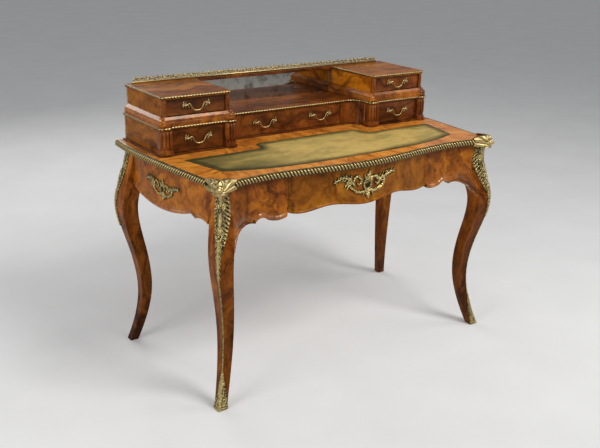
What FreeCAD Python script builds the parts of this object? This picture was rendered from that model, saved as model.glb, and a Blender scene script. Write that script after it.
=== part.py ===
import FreeCAD, Part
import math
import os
import re
from types import SimpleNamespace

from FreeCAD import Placement, Rotation, Vector

# A bonheur du jour: a serpentine writing table on cabriole legs that carries a low tier of
# drawers, two upper boxes with a mirror between them, and a pierced gallery.
# The origin is on the floor under the middle of the table. The front faces -Y.

# Driving sizes in millimetres, angles in degrees. A _x is counted from the middle of the width,
# a _y from the middle of the depth, a _height from the floor and a _drop down from the underside of
# the table top.
SIZES = [
    ("desk_height", 735, "floor to the writing surface"),
    ("top_thickness", 22, "table top board"),
    ("top_bow_y", 312, "front edge of the top at the middle of its bow"),
    ("top_hollow_x", 408, "hollow of the serpentine front edge"),
    ("top_hollow_y", 277, "front edge at that hollow"),
    ("top_corner_x", 556, "front corner of the top"),
    ("top_corner_y", 303, "front corner of the top"),
    ("top_waist_x", 574, "side edge where it starts to swell"),
    ("top_waist_y", 120, "that place, in front of the middle"),
    ("top_bulge_x", 596, "side edge where it is widest"),
    ("top_bulge_y", 130, "that place, behind the middle"),
    ("top_back_x", 590, "back corner of the top"),
    ("top_back_y", 325, "back edge of the top"),
    ("leather_thickness", 1.2, "leather skiver, flush in its recess"),
    ("leather_front_margin", 61, "wood band in front of the leather"),
    ("leather_front_x", 483, "front corner of the leather"),
    ("leather_front_y", 190, "front corner of the leather"),
    ("leather_back_x", 521, "back corner of the leather"),
    ("leather_back_y", 20, "back corner of the leather, in front of the middle"),
    ("leather_step_x", 258, "outer end of the ogee in the back edge"),
    ("leather_ogee_width", 72, "width of that ogee"),
    ("leather_bay_y", 46, "back edge of the leather in the middle"),
    ("gadroon_height", 25, "brass border round the top"),
    ("gadroon_depth", 14, "how far the border stands out"),
    ("corner_wing", 56, "length of a corner shell along each edge"),
    ("corner_depth", 15, "how far a corner shell stands out"),
    ("corner_height", 27, "height of a corner shell"),
    ("corner_gap", 0.4, "corner shell clear of the curved edges behind it"),
    ("corner_end_gap", 2, "corner shell clear of the border beside it"),
    ("frieze_inset", 12, "frieze face behind the edge of the top"),
    ("frieze_thickness", 22, "shaped frieze boards"),
    ("back_apron_y", 262, "outer face of the back apron"),
    ("back_apron_margin", 6, "back apron below the runners that it carries"),
    ("frieze_drawer_x", 292, "joint between the frieze drawer and the fixed frieze"),
    ("drawer_lobe_drop", 128, "end lobes of the frieze drawer"),
    ("drawer_rise_drop", 115, "rises of the drawer's lower edge"),
    ("drawer_middle_drop", 129, "lowest place in the middle of the drawer"),
    ("apron_lobe_drop", 137, "lobe of the fixed front frieze"),
    ("apron_notch_x", 392, "notch beside that lobe"),
    ("apron_notch_drop", 120, "top of the notch"),
    ("apron_cusp_x", 413, "cusp between notch and bracket"),
    ("apron_cusp_drop", 134, "cusp of the fixed front frieze"),
    ("apron_bracket_drop", 152, "lower end of the bracket at the leg"),
    ("apron_crown_x", 450, "highest place of the bracket's arch"),
    ("apron_crown_drop", 124, "height of that arch"),
    ("side_middle_y", 40, "lowest place of a side frieze, behind the middle of the depth"),
    ("side_middle_drop", 142, "height of that place"),
    ("side_back_drop", 101, "lower edge of a side frieze inside the back leg"),
    ("side_notch_y", 138, "notch of a side frieze"),
    ("side_notch_drop", 112, "top of that notch"),
    ("side_cusp_y", 160, "cusp of a side frieze"),
    ("side_cusp_drop", 122, "that cusp"),
    ("side_crown_y", 188, "highest place of a side bracket's arch"),
    ("side_crown_drop", 115, "height of that arch"),
    ("side_bracket_drop", 168, "lower end of a side bracket at the front leg"),
    ("leg_front_x", 551, "arris of a front leg at its top"),
    ("leg_front_y", 297, "arris of a front leg at its top"),
    ("leg_back_x", 585.5, "arris of a back leg at its top"),
    ("leg_back_y", 268, "arris of a back leg at its top"),
    ("leg_neck_drop", 58, "neck, where the leg leaves the frieze"),
    ("leg_knee_drop", 188, "widest place of the knee"),
    ("leg_calf_share", 0.705, "calf, as a share of the knee's height"),
    ("leg_waist_share", 0.381, "innermost place of the curve, as a share of the knee's height"),
    ("leg_ankle_share", 0.181, "ankle, as a share of the knee's height"),
    ("leg_top_side", 62, "side of the leg's square section at its top"),
    ("leg_knee_side", 57.5, "section at the knee"),
    ("leg_calf_side", 47, "section at the calf"),
    ("leg_waist_side", 36.5, "section at the waist"),
    ("leg_ankle_side", 31.5, "section at the ankle"),
    ("leg_foot_side", 29, "section at the floor"),
    ("front_neck_out", -1, "front leg, how far its neck stands outside its top"),
    ("front_knee_out", 34.5, "front leg, knee"),
    ("front_calf_out", 4, "front leg, calf"),
    ("front_waist_out", -22, "front leg, waist"),
    ("front_ankle_out", -2, "front leg, ankle"),
    ("front_foot_out", 35, "front leg, foot"),
    ("back_neck_out", 15, "back leg, neck"),
    ("back_knee_out", 48, "back leg, knee"),
    ("back_calf_out", 12, "back leg, calf"),
    ("back_waist_out", -19, "back leg, waist"),
    ("back_ankle_out", -3, "back leg, ankle"),
    ("back_foot_out", 29, "back leg, foot"),
    ("front_leg_flare", 26, "turn of a front leg's front face towards the frieze"),
    ("mount_gap", 0.3, "brass mounts off the wood under them"),
    ("chute_thickness", 4, "leg chutes"),
    ("chute_wing", 26, "chute on each face of the leg, at its top"),
    ("chute_tip_wing", 6, "chute on each face, at its lower end"),
    ("chute_length", 276, "chute, down from the top of the leg"),
    ("fillet_thickness", 2, "brass fillet on the arris of a front leg"),
    ("fillet_wing", 4, "fillet on each face"),
    ("sabot_thickness", 2.5, "front foot mounts"),
    ("sabot_height", 118, "front foot mounts"),
    ("sabot_tip_wing", 7, "front foot mount on each face, at its upper end"),
    ("cartouche_thickness", 6, "cartouche mounts"),
    ("cartouche_half_width", 132, "frieze cartouche, middle to arm"),
    ("cartouche_half_height", 48, "frieze cartouche, middle to crest"),
    ("cartouche_drop", 62, "middle of the frieze cartouche"),
    ("side_cartouche_y", 20, "middle of a side cartouche, behind the middle of the depth"),
    ("side_cartouche_half_width", 101, "side cartouche"),
    ("side_cartouche_half_height", 35, "side cartouche"),
    ("side_cartouche_drop", 75, "middle of a side cartouche"),
    ("cartouche_lobe", 0.42, "half-height of a cartouche's arms as a share of its middle"),
    ("runner_thickness", 12, "frieze drawer runners"),
    ("runner_guide_height", 28, "guide above its runner"),
    ("runner_ledge", 21, "runner under a drawer side"),
    ("runner_guide_width", 50, "guide beside the frieze drawer"),
    ("frieze_box_x", 270, "outside of the frieze drawer box"),
    ("frieze_box_drop", 95, "bottom of the frieze drawer box"),
    ("frieze_box_back_y", 225, "back of the frieze drawer box"),
    ("drawer_gap", 1, "clearance round a drawer"),
    ("drawer_headroom", 5, "clearance above a drawer box"),
    ("drawer_side", 8, "sides and back of the drawer boxes"),
    ("drawer_bottom", 5, "bottoms of the drawer boxes"),
    ("drawer_bottom_rise", 3, "drawer bottom above the lower edge of its sides"),
    ("drawer_front", 14, "fronts of the tier's drawers"),
    ("drawer_stop", 8, "space behind a closed drawer box"),
    ("tier_height", 93, "lower tier, writing surface to its shelf"),
    ("tier_base", 6, "base board of the tier"),
    ("tier_base_spread", 5, "base board beyond the shelf above it"),
    ("tier_shelf", 8, "shelf board of the tier"),
    ("shelf_side_margin", 1.5, "shelf beyond the sides of the plinths on it"),
    ("shelf_front_margin", 2, "shelf beyond the front of the plinths on it"),
    ("tier_inner_x", 287.5, "shelf edge beside the middle bay"),
    ("tier_centre_y", 125, "shelf edge over the centre drawer"),
    ("tier_back_y", 318, "back of the tier"),
    ("tier_return_radius", 45, "hollow between the bay and a pedestal"),
    ("tier_return_x", 218, "joint between a return and the centre drawer"),
    ("ear_depth", 10, "how far the shelf's corner ears stand out"),
    ("ear_width", 43, "corner ear along the front"),
    ("ear_radius", 18, "rounded corner of an ear"),
    ("shelf_overhang", 4, "shelf beyond the pilasters and ends"),
    ("pilaster_depth", 27, "pilaster behind the pedestal front"),
    ("pilaster_foot", 12, "height of a pilaster's foot block"),
    ("pilaster_foot_step", 4, "foot block beyond its pilaster"),
    ("drawer_setback", 6, "drawer fronts behind the shelf edge"),
    ("tier_end", 14, "end panels and partitions"),
    ("tier_backboard", 8, "backboards"),
    ("guide_height", 16, "drawer guides in the tier"),
    ("bead_depth", 3, "how far the brass lines stand out"),
    ("bead_height", 6, "height of the brass lines"),
    ("plinth_height", 31, "moulded plinth under an upper box"),
    ("plinth_fascia", 12, "upright lower part of the plinth"),
    ("plinth_spread", 14, "plinth beyond the sides of the box above it"),
    ("plinth_front_spread", 7, "plinth beyond the front of the box above it"),
    ("upper_height", 96, "upper boxes, shelf to their tops"),
    ("upper_top", 10, "tops of the upper boxes"),
    ("upper_outer_x", 554, "outer side of an upper box"),
    ("upper_inner_x", 306, "inner side of an upper box"),
    ("upper_front_y", 62, "drawer fronts of the upper boxes"),
    ("upper_wall", 16, "side walls of the upper boxes"),
    ("upper_top_overhang", 4, "tops beyond the walls"),
    ("upper_top_back_overhang", 2, "tops beyond the backboards"),
    ("upper_cant", 9, "canted front corners of the tops"),
    ("upper_pilaster_front", 6, "pilasters in front of the drawer fronts"),
    ("upper_pilaster_depth", 4, "pilasters behind the drawer fronts"),
    ("upper_pilaster_cant", 5, "canted corner of a pilaster"),
    ("upper_pilaster_foot", 9, "height of its foot"),
    ("upper_pilaster_step", 1.5, "foot beyond its pilaster"),
    ("mirror_thickness", 3, "mirror glass"),
    ("mirror_margin", 1, "mirror clear of the plinths beside it"),
    ("rail_depth", 24, "rail above the mirror"),
    ("gallery_height", 23, "pierced gallery"),
    ("gallery_thickness", 2.5, "pierced gallery"),
    ("gallery_end_inset", 18, "gallery inside the outer sides of the upper boxes"),
    ("gallery_setback", 8, "front face of the gallery inside the back edge of the tops"),
    ("gallery_pitch", 18, "spacing of the piercings"),
    ("gallery_piercing", 6.5, "radius of a piercing"),
    ("gallery_base", 5, "solid strip under the piercings"),
    ("handle_span", 84, "between the pivots of a handle"),
    ("handle_drop", 20.5, "pivot to the bottom of the bail"),
    ("handle_standoff", 9, "pivot in front of the drawer front"),
    ("handle_rise", 4, "pivot above the middle of the drawer front"),
    ("centre_handle_x", 121, "handles of the centre drawer"),
    ("bail_radius", 1.8, "bail wire"),
    ("bail_clearance", 0.08, "bail pin in its post"),
    ("bail_neck_radius", 5, "bend beside the pivot"),
    ("bail_bow_radius", 14, "bend at the bottom of the bail"),
    ("bail_lean", 65, "slope of the bail's necks"),
    ("post_radius", 3.6, "handle posts"),
    ("rosette_radius", 9, "rosettes behind the posts"),
    ("rosette_thickness", 2.5, "rosettes behind the posts"),
]

# Places that hang from the table top: each has a _drop among the sizes and gets a _height.
DROPS = (
    "leg_neck", "leg_knee", "frieze_box", "drawer_lobe", "drawer_rise", "drawer_middle", "apron_lobe",
    "apron_notch", "apron_cusp", "apron_bracket", "apron_crown", "side_middle", "side_back", "side_notch",
    "side_cusp", "side_crown", "side_bracket", "cartouche", "side_cartouche",
)

# Places that follow from the driving sizes.
PLACES = [
    ("top_underside", "desk_height - top_thickness", "underside of the table top"),
    *[(name + "_height", f"top_underside - {name}_drop", "height of that place") for name in DROPS],
    ("back_apron_height", "frieze_box_height - runner_thickness - back_apron_margin", "its lower edge"),
    ("leg_calf_height", "leg_knee_height * leg_calf_share", "height of the calf"),
    ("leg_waist_height", "leg_knee_height * leg_waist_share", "height of the waist"),
    ("leg_ankle_height", "leg_knee_height * leg_ankle_share", "height of the ankle"),
    ("tier_side_x", "upper_outer_x + plinth_spread + shelf_side_margin", "side edge of the shelf"),
    ("upper_pilaster_face", "upper_front_y - upper_pilaster_front", "face of an upper pilaster"),
    ("tier_front_y", "upper_pilaster_face - plinth_front_spread - shelf_front_margin", "shelf's pedestal edge"),
    ("upper_top_front", "upper_pilaster_face - upper_top_overhang", "front edge of the tops"),
    ("upper_top_back", "tier_back_y + upper_top_back_overhang", "back edge of the tops"),
    ("mirror_x", "upper_inner_x - plinth_spread - mirror_margin", "edge of the mirror"),
    ("gallery_x", "upper_outer_x - gallery_end_inset", "end of the gallery"),
    ("gallery_y", "upper_top_back - gallery_setback", "front face of the gallery"),
    ("tier_floor", "desk_height + tier_base", "on the tier's base board"),
    ("shelf_height", "desk_height + tier_height", "top of the tier's shelf"),
    ("shelf_underside", "shelf_height - tier_shelf", "underside of that shelf"),
    ("plinth_top", "shelf_height + plinth_height", "floor of the upper drawers"),
    ("upper_top_height", "shelf_height + upper_height", "top of the upper boxes"),
    ("upper_ceiling", "upper_top_height - upper_top", "underside of the upper tops"),
    ("ear_front", "tier_front_y - ear_depth", "front of the shelf's ears"),
    ("ear_outer", "tier_side_x - ear_width", "inner end of an outer ear"),
    ("ear_inner", "tier_inner_x + ear_width", "outer end of an inner ear"),
    ("end_outer", "tier_side_x - shelf_overhang", "outer face of an end panel"),
    ("end_inner", "end_outer - tier_end", "inner face of an end panel"),
    ("partition_outer", "tier_inner_x + shelf_overhang", "bay side of a partition"),
    ("partition_inner", "partition_outer + tier_end", "drawer side of a partition"),
    ("pilaster_back", "tier_front_y + pilaster_depth", "back of the tier's pilasters"),
    ("tier_inside_y", "tier_back_y - tier_backboard", "front of the backboards"),
    ("bay_front", "tier_centre_y + drawer_setback", "face of the centre drawer"),
    ("bay_inside", "bay_front + drawer_front", "back of the centre drawer's front"),
    ("lower_front", "tier_front_y + drawer_setback", "face of the pedestal drawers"),
    ("wall_outer", "upper_outer_x - upper_wall", "drawer side of an outer wall"),
    ("wall_inner", "upper_inner_x + upper_wall", "drawer side of an inner wall"),
    ("upper_pilaster_back", "upper_front_y + upper_pilaster_depth", "back of an upper pilaster"),
    ("guide_face", "frieze_box_x + drawer_gap", "face of the guide beside the frieze drawer"),
    ("runner_inner", "guide_face - runner_ledge", "inner edge of a runner"),
    ("runner_outer", "guide_face + runner_guide_width", "outer edge of a runner and its guide"),
    ("leg_front_mid_x", "leg_front_x - leg_top_side / 2", "inside a front leg"),
    ("leg_front_mid_y", "leg_front_y - leg_top_side / 2", "inside a front leg"),
    ("leg_back_mid_x", "leg_back_x - leg_top_side / 2", "inside a back leg"),
    ("leg_back_mid_y", "leg_back_y - leg_top_side / 2", "inside a back leg"),
    ("back_apron_inner", "back_apron_y - frieze_thickness", "inner face of the back apron"),
]

SIDES = (("left", -1), ("right", 1))
UP = Vector(0, 0, 1)

doc = FreeCAD.newDocument("bonheur_du_jour")
sheet = doc.addObject("Spreadsheet::Sheet", "Sizes")
nodes = []


def fill_sheet():
    """Writes the driving sizes and the places that follow from them, and reads them back."""
    rows = [(name, str(value), note) for name, value, note in SIZES]
    rows += [(name, "=" + formula, note) for name, formula, note in PLACES]
    for row, (name, content, note) in enumerate(rows, start=1):
        sheet.set(f"A{row}", name)
        sheet.set(f"B{row}", content)
        sheet.setAlias(f"B{row}", name)
        sheet.set(f"C{row}", note)
    doc.recompute()
    return SimpleNamespace(**{name: float(sheet.get(name)) for name, _, _ in rows})


mm = fill_sheet()


# Helpers

def bind(obj, prop, formula):
    """Ties a property to a formula of the sheet's names."""
    obj.setExpression(prop, re.sub(r"[a-z]\w*", lambda name: "Sizes." + name.group(), formula))


def keep(obj, name):
    """Makes an object a sub-part of the desk under its own name."""
    obj.Label = name
    nodes.append(obj)
    return obj


def group(name, pieces):
    compound = doc.addObject("Part::Compound", name)
    compound.Links = pieces
    return keep(compound, name)


def shaped(name, shape, place=None):
    """An object whose form no primitive or pad gives."""
    feature = doc.addObject("Part::Feature", name)
    feature.Shape = shape
    feature.Placement = place or Placement()
    return feature


def board(name, x, y, z):
    """A straight board between planes, each pair a low and a high formula."""
    box = doc.addObject("Part::Box", name)
    for axis, length, (low, high) in zip("xyz", ("Length", "Width", "Height"), (x, y, z)):
        bind(box, "Placement.Base." + axis, low)
        bind(box, length, f"({high}) - ({low})")
    return box


def on_side(side, pair):
    """The same pair of planes on the left or on the right."""
    low, high = pair
    return pair if side > 0 else (f"-({high})", f"-({low})")


def rod(name, radius, length, place, turn):
    """A round piece along the axis that the turn gives, placed by three formulas."""
    cylinder = doc.addObject("Part::Cylinder", name)
    cylinder.Placement = Placement(Vector(), turn)
    bind(cylinder, "Radius", radius)
    bind(cylinder, "Height", length)
    for axis, formula in zip("xyz", place):
        bind(cylinder, "Placement.Base." + axis, formula)
    return cylinder


def boolean(kind, name, base, tool):
    result = doc.addObject("Part::" + kind, name)
    result.Base = base
    result.Tool = tool
    return result


def line(start, end):
    return Part.LineSegment(start, end)


def arc(start, middle, end):
    return Part.Arc(start, middle, end)


def path(points):
    """Straight edges through the points, closed."""
    return [line(a, b) for a, b in zip(points, points[1:] + points[:1])]


def joined(edges):
    """One wire of edges that are given in any order."""
    return Part.Wire(Part.sortEdges([edge.toShape() for edge in edges])[0])


def curve(points, parameters):
    """A smooth curve that is at each point at its parameter."""
    spline = Part.BSplineCurve()
    spline.interpolate(Points=points, Parameters=parameters)
    return spline


def piece(spline, first, last, shift):
    """A stretch of a curve, moved."""
    part = spline.copy()
    part.segment(first, last)
    part.translate(shift)
    return part


def add_outline(body, name, edges, plane, offset):
    sketch = body.newObject("Sketcher::SketchObject", name)
    support = next(feature for feature in body.Origin.OriginFeatures if feature.Role == plane)
    sketch.AttachmentSupport = [(support, "")]
    sketch.MapMode = "FlatFace"
    bind(sketch, "AttachmentOffset.Base.z", offset)
    sketch.addGeometry(edges, False)
    return sketch


def add_pad(body, name, edges, plane, offset, length):
    """Pads a closed outline on an origin plane, from the offset along the plane's normal."""
    pad = body.newObject("PartDesign::Pad", name)
    pad.Profile = add_outline(body, name + "_outline", edges, plane, offset)
    bind(pad, "Length", length)
    body.Tip = pad
    return pad


def padded(name, edges, offset, length, plane="XY_Plane"):
    body = doc.addObject("PartDesign::Body", name)
    add_pad(body, name + "_pad", edges, plane, offset, length)
    return body


# Curves of the table's edges, seen from above

def front_edge_curve():
    xs = [-mm.top_corner_x, -mm.top_hollow_x, 0, mm.top_hollow_x, mm.top_corner_x]
    ys = [-mm.top_corner_y, -mm.top_hollow_y, -mm.top_bow_y, -mm.top_hollow_y, -mm.top_corner_y]
    return curve([Vector(x, y, 0) for x, y in zip(xs, ys)], xs)


def side_edge_curve(side):
    xs = [mm.top_corner_x, mm.top_waist_x, mm.top_bulge_x, mm.top_back_x]
    ys = [-mm.top_corner_y, -mm.top_waist_y, mm.top_bulge_y, mm.top_back_y]
    return curve([Vector(side * x, y, 0) for x, y in zip(xs, ys)], ys)


front_edge = front_edge_curve()
side_edges = {side: side_edge_curve(side) for _, side in SIDES}


def band(outer, inner):
    """A closed outline between two like curves."""
    return [outer, line(outer.EndPoint, inner.EndPoint), inner, line(inner.StartPoint, outer.StartPoint)]


def front_band(first, last, inset, thickness):
    outer = piece(front_edge, first, last, Vector(0, inset, 0))
    return band(outer, piece(front_edge, first, last, Vector(0, inset + thickness, 0)))


def side_band(side, first, last, inset, thickness):
    outer = piece(side_edges[side], first, last, Vector(-side * inset, 0, 0))
    return band(outer, piece(side_edges[side], first, last, Vector(-side * (inset + thickness), 0, 0)))


def front_board(name, plan, elevation):
    """A board with a curved plan and a shaped front: one outline cut through the other."""
    stock = padded(name + "_stock", plan, "0", "top_underside")
    template = padded(name + "_template", elevation, "top_hollow_y / 2", "top_hollow_y", "XZ_Plane")
    return boolean("Common", name + "_shape", stock, template)


def side_board(name, side, plan, elevation):
    start = "top_corner_x * 0.8" if side > 0 else "-top_corner_x * 1.2"
    stock = padded(name + "_stock", plan, "0", "top_underside")
    template = padded(name + "_template", elevation, start, "top_corner_x * 0.4", "YZ_Plane")
    return boolean("Common", name + "_shape", stock, template)


# Legs and the mounts on their arrises

def leg_form(row):
    """Outward reach and section side of a leg as a curve along its height."""
    stations = [
        (0, getattr(mm, row + "_foot_out"), mm.leg_foot_side),
        (mm.leg_ankle_height, getattr(mm, row + "_ankle_out"), mm.leg_ankle_side),
        (mm.leg_waist_height, getattr(mm, row + "_waist_out"), mm.leg_waist_side),
        (mm.leg_calf_height, getattr(mm, row + "_calf_out"), mm.leg_calf_side),
        (mm.leg_knee_height, getattr(mm, row + "_knee_out"), mm.leg_knee_side),
        (mm.leg_neck_height, getattr(mm, row + "_neck_out"), mm.leg_top_side),
        (mm.top_underside, 0, mm.leg_top_side),
    ]
    return curve([Vector(out, side, 0) for _, out, side in stations], [height for height, _, _ in stations])


leg_forms = {row: leg_form(row) for row in ("front", "back")}


def leg_corner(row, side, height):
    """The arris of a leg at a height, the directions of its two outer faces and their length."""
    form = leg_forms[row].value(height)
    reach = form.x * math.sqrt(0.5)
    facing = -1 if row == "front" else 1
    arris = Vector(
        side * (getattr(mm, f"leg_{row}_x") + reach),
        facing * (getattr(mm, f"leg_{row}_y") + reach),
        height,
    )
    share = (height - mm.leg_knee_height) / (mm.leg_neck_height - mm.leg_knee_height)
    turn = mm.front_leg_flare if row == "front" else 0
    flare = math.radians(turn * min(1, max(0, share)))
    along_front = Vector(-side * math.cos(flare), -facing * math.sin(flare), 0)
    return arris, along_front, Vector(0, -facing, 0), form.y


def leg_section(row, side, height):
    arris, along_front, along_side, length = leg_corner(row, side, height)
    front = arris + along_front * length
    back = arris + along_side * length
    return Part.makePolygon([arris, front, front + along_side * length, back, arris])


def leg_heights():
    """Even heights of the sections that give a leg its form."""
    return [mm.top_underside * step / 24 for step in range(25)]


def leg(row, side_name, side):
    sections = [leg_section(row, side, z) for z in leg_heights()]
    name = f"leg_{row}_{side_name}"
    return keep(shaped(name, Part.makeLoft(sections, True, False)), name)


def angle_section(corner, along_a, along_b, gap, thickness, wing):
    """An L-shaped section that wraps an outer corner, off it by the gap."""
    spread = 1 / along_a.cross(along_b).Length
    out_a = (along_a * along_a.dot(along_b) - along_b).normalize()
    out_b = (along_b * along_a.dot(along_b) - along_a).normalize()
    inner = corner - (along_a + along_b) * (gap * spread)
    outer = corner - (along_a + along_b) * ((gap + thickness) * spread)
    tip_a = inner + along_a * wing
    tip_b = inner + along_b * wing
    return Part.makePolygon(
        [outer, tip_a + out_a * thickness, tip_a, inner, tip_b, tip_b + out_b * thickness, outer])


def arris_mount(name, row, side, low, high, thickness, low_wing, high_wing):
    """A brass mount that follows a leg's arris between two heights, with sections where the leg has them."""
    sections = []
    margin = mm.top_underside / 96
    between = [z for z in leg_heights() if low + margin < z < high - margin]
    for height in [low, *between, high]:
        wing = low_wing + (high_wing - low_wing) * (height - low) / (high - low)
        arris, along_front, along_side, _ = leg_corner(row, side, height)
        sections.append(angle_section(arris, along_front, along_side, mm.mount_gap, thickness, wing))
    return shaped(name, Part.makeLoft(sections, True, False))


def leg_mounts():
    chute_foot = mm.top_underside - mm.chute_length
    chutes = []
    fillets = []
    sabots = []
    for side_name, side in SIDES:
        for row in ("front", "back"):
            chutes.append(arris_mount(f"chute_{row}_{side_name}", row, side, chute_foot, mm.top_underside,
                                      mm.chute_thickness, mm.chute_tip_wing, mm.chute_wing))
        fillets.append(arris_mount("fillet_" + side_name, "front", side, mm.sabot_height, chute_foot,
                                   mm.fillet_thickness, mm.fillet_wing, mm.fillet_wing))
        sabots.append(arris_mount("sabot_" + side_name, "front", side, 0, mm.sabot_height,
                                  mm.sabot_thickness, mm.leg_foot_side, mm.sabot_tip_wing))
    group("leg_chutes", chutes)
    group("leg_fillets", fillets)
    group("sabots", sabots)


# Friezes

def front_apron_outline(side):
    """A fixed front frieze: a lobe beside the drawer, a notch, a cusp and the leg's bracket."""
    joint = mm.frieze_drawer_x + mm.drawer_gap
    lobe_end = (joint + 3 * mm.apron_notch_x) / 4
    lobe_side = (mm.apron_lobe_height + mm.apron_notch_height) / 2

    def at(x, z):
        return Vector(side * x, z, 0)

    lobe = [at(joint, lobe_side), at((joint + lobe_end) / 2, mm.apron_lobe_height), at(lobe_end, lobe_side)]
    cusp = at(mm.apron_cusp_x, mm.apron_cusp_height)
    foot = at(mm.leg_front_mid_x, mm.apron_bracket_height)
    outer_top = at(mm.leg_front_mid_x, mm.top_underside)
    inner_top = at(joint, mm.top_underside)
    return [
        arc(*lobe),
        arc(lobe[2], at(mm.apron_notch_x, mm.apron_notch_height), cusp),
        arc(cusp, at(mm.apron_crown_x, mm.apron_crown_height), foot),
        line(foot, outer_top),
        line(outer_top, inner_top),
        line(inner_top, lobe[0]),
    ]


def front_aprons(legs):
    joint = mm.frieze_drawer_x + mm.drawer_gap
    for side_name, side in SIDES:
        first, last = sorted((side * joint, side * mm.leg_front_mid_x))
        name = "apron_front_" + side_name
        shape = front_board(name, front_band(first, last, mm.frieze_inset, mm.frieze_thickness),
                            front_apron_outline(side))
        keep(boolean("Cut", name, shape, legs["front", side]), name)


def side_apron_outline():
    """A side frieze: from the front leg its bracket, a cusp, a notch and a long drop to the back leg."""
    front_top = Vector(-mm.leg_front_mid_y, mm.top_underside, 0)
    bracket = Vector(-mm.leg_front_mid_y, mm.side_bracket_height, 0)
    crown = Vector(-mm.side_crown_y, mm.side_crown_height, 0)
    cusp = Vector(-mm.side_cusp_y, mm.side_cusp_height, 0)
    notch = Vector(-mm.side_notch_y, mm.side_notch_height, 0)
    drop = Vector(mm.side_middle_y, mm.side_middle_height, 0)
    back = Vector(mm.leg_back_mid_y, mm.side_back_height, 0)
    back_top = Vector(mm.leg_back_mid_y, mm.top_underside, 0)
    return [
        line(front_top, bracket),
        arc(bracket, crown, cusp),
        line(cusp, notch),
        arc(notch, drop, back),
        line(back, back_top),
        line(back_top, front_top),
    ]


def side_aprons(legs):
    for side_name, side in SIDES:
        name = "apron_" + side_name
        plan = side_band(side, -mm.leg_front_mid_y, mm.leg_back_mid_y, mm.frieze_inset, mm.frieze_thickness)
        shape = side_board(name, side, plan, side_apron_outline())
        trimmed = boolean("Cut", name + "_behind_leg", shape, legs["front", side])
        keep(boolean("Cut", name, trimmed, legs["back", side]), name)


def back_apron(legs):
    stock = board("apron_back_stock", ("-leg_back_mid_x", "leg_back_mid_x"),
                  ("back_apron_inner", "back_apron_y"), ("back_apron_height", "top_underside"))
    trimmed = boolean("Cut", "apron_back_trimmed", stock, legs["back", -1])
    keep(boolean("Cut", "apron_back", trimmed, legs["back", 1]), "apron_back")


def cartouche_outline(middle, height, half_width, half_height):
    """A pointed oval middle with two tapering arms."""
    arm = half_height * mm.cartouche_lobe
    waist = half_height

    def at(u, v):
        return Vector(middle + u, height + v, 0)

    return [
        arc(at(-half_width, 0), at(-(half_width + waist) / 2, arm), at(-waist, arm / 2)),
        arc(at(-waist, arm / 2), at(0, half_height), at(waist, arm / 2)),
        arc(at(waist, arm / 2), at((half_width + waist) / 2, arm), at(half_width, 0)),
        arc(at(half_width, 0), at((half_width + waist) / 2, -arm), at(waist, -arm / 2)),
        arc(at(waist, -arm / 2), at(0, -half_height), at(-waist, -arm / 2)),
        arc(at(-waist, -arm / 2), at(-(half_width + waist) / 2, -arm), at(-half_width, 0)),
    ]


def side_cartouches():
    mounts = []
    for side_name, side in SIDES:
        middle = mm.side_cartouche_y
        reach = mm.side_cartouche_half_width + mm.mount_gap
        plan = side_band(side, middle - reach, middle + reach, mm.frieze_inset - mm.cartouche_thickness,
                         mm.cartouche_thickness)
        outline = cartouche_outline(middle, mm.side_cartouche_height, mm.side_cartouche_half_width,
                                    mm.side_cartouche_half_height)
        mounts.append(side_board("side_cartouche_" + side_name, side, plan, outline))
    group("side_cartouches", mounts)


# Table top

def top_outline():
    left = side_edges[-1]
    right = side_edges[1]
    return [front_edge, right, line(right.EndPoint, left.EndPoint), left]


def leather_outline():
    """Serpentine front, straight sides and a back edge that steps round the pedestals by an ogee."""
    shift = mm.leather_front_margin
    xs = [-mm.leather_front_x, -mm.top_hollow_x, 0, mm.top_hollow_x, mm.leather_front_x]
    ys = [-mm.leather_front_y, shift - mm.top_hollow_y, shift - mm.top_bow_y, shift - mm.top_hollow_y,
          -mm.leather_front_y]
    front = curve([Vector(x, y, 0) for x, y in zip(xs, ys)], xs)
    inner = mm.leather_step_x - mm.leather_ogee_width
    back_y = -mm.leather_back_y

    def ogee(side):
        start = Vector(side * mm.leather_step_x, back_y, 0)
        middle = Vector(side * (mm.leather_step_x + inner) / 2, (back_y + mm.leather_bay_y) / 2, 0)
        end = Vector(side * inner, mm.leather_bay_y, 0)
        quarter = mm.leather_ogee_width / 8
        first = (start + middle) * 0.5 + Vector(-side * quarter, -quarter, 0)
        second = (middle + end) * 0.5 + Vector(side * quarter, quarter, 0)
        return start, end, [arc(start, first, middle), arc(middle, second, end)]

    right_step, right_bay, right_ogee = ogee(1)
    left_step, left_bay, left_ogee = ogee(-1)
    right_back = Vector(mm.leather_back_x, back_y, 0)
    left_back = Vector(-mm.leather_back_x, back_y, 0)
    return [
        front, line(front.EndPoint, right_back), line(right_back, right_step), *right_ogee,
        line(right_bay, left_bay), *left_ogee, line(left_step, left_back), line(left_back, front.StartPoint),
    ]


def table_top():
    body = padded("desk_top", top_outline(), "top_underside", "top_thickness")
    recess = body.newObject("PartDesign::Pocket", "leather_recess")
    recess.Profile = add_outline(body, "leather_recess_outline", leather_outline(), "XY_Plane", "desk_height")
    bind(recess, "Length", "leather_thickness")
    body.Tip = recess
    keep(body, "desk_top")
    keep(padded("leather_skiver", leather_outline(), "desk_height - leather_thickness", "leather_thickness"),
         "leather_skiver")


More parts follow.
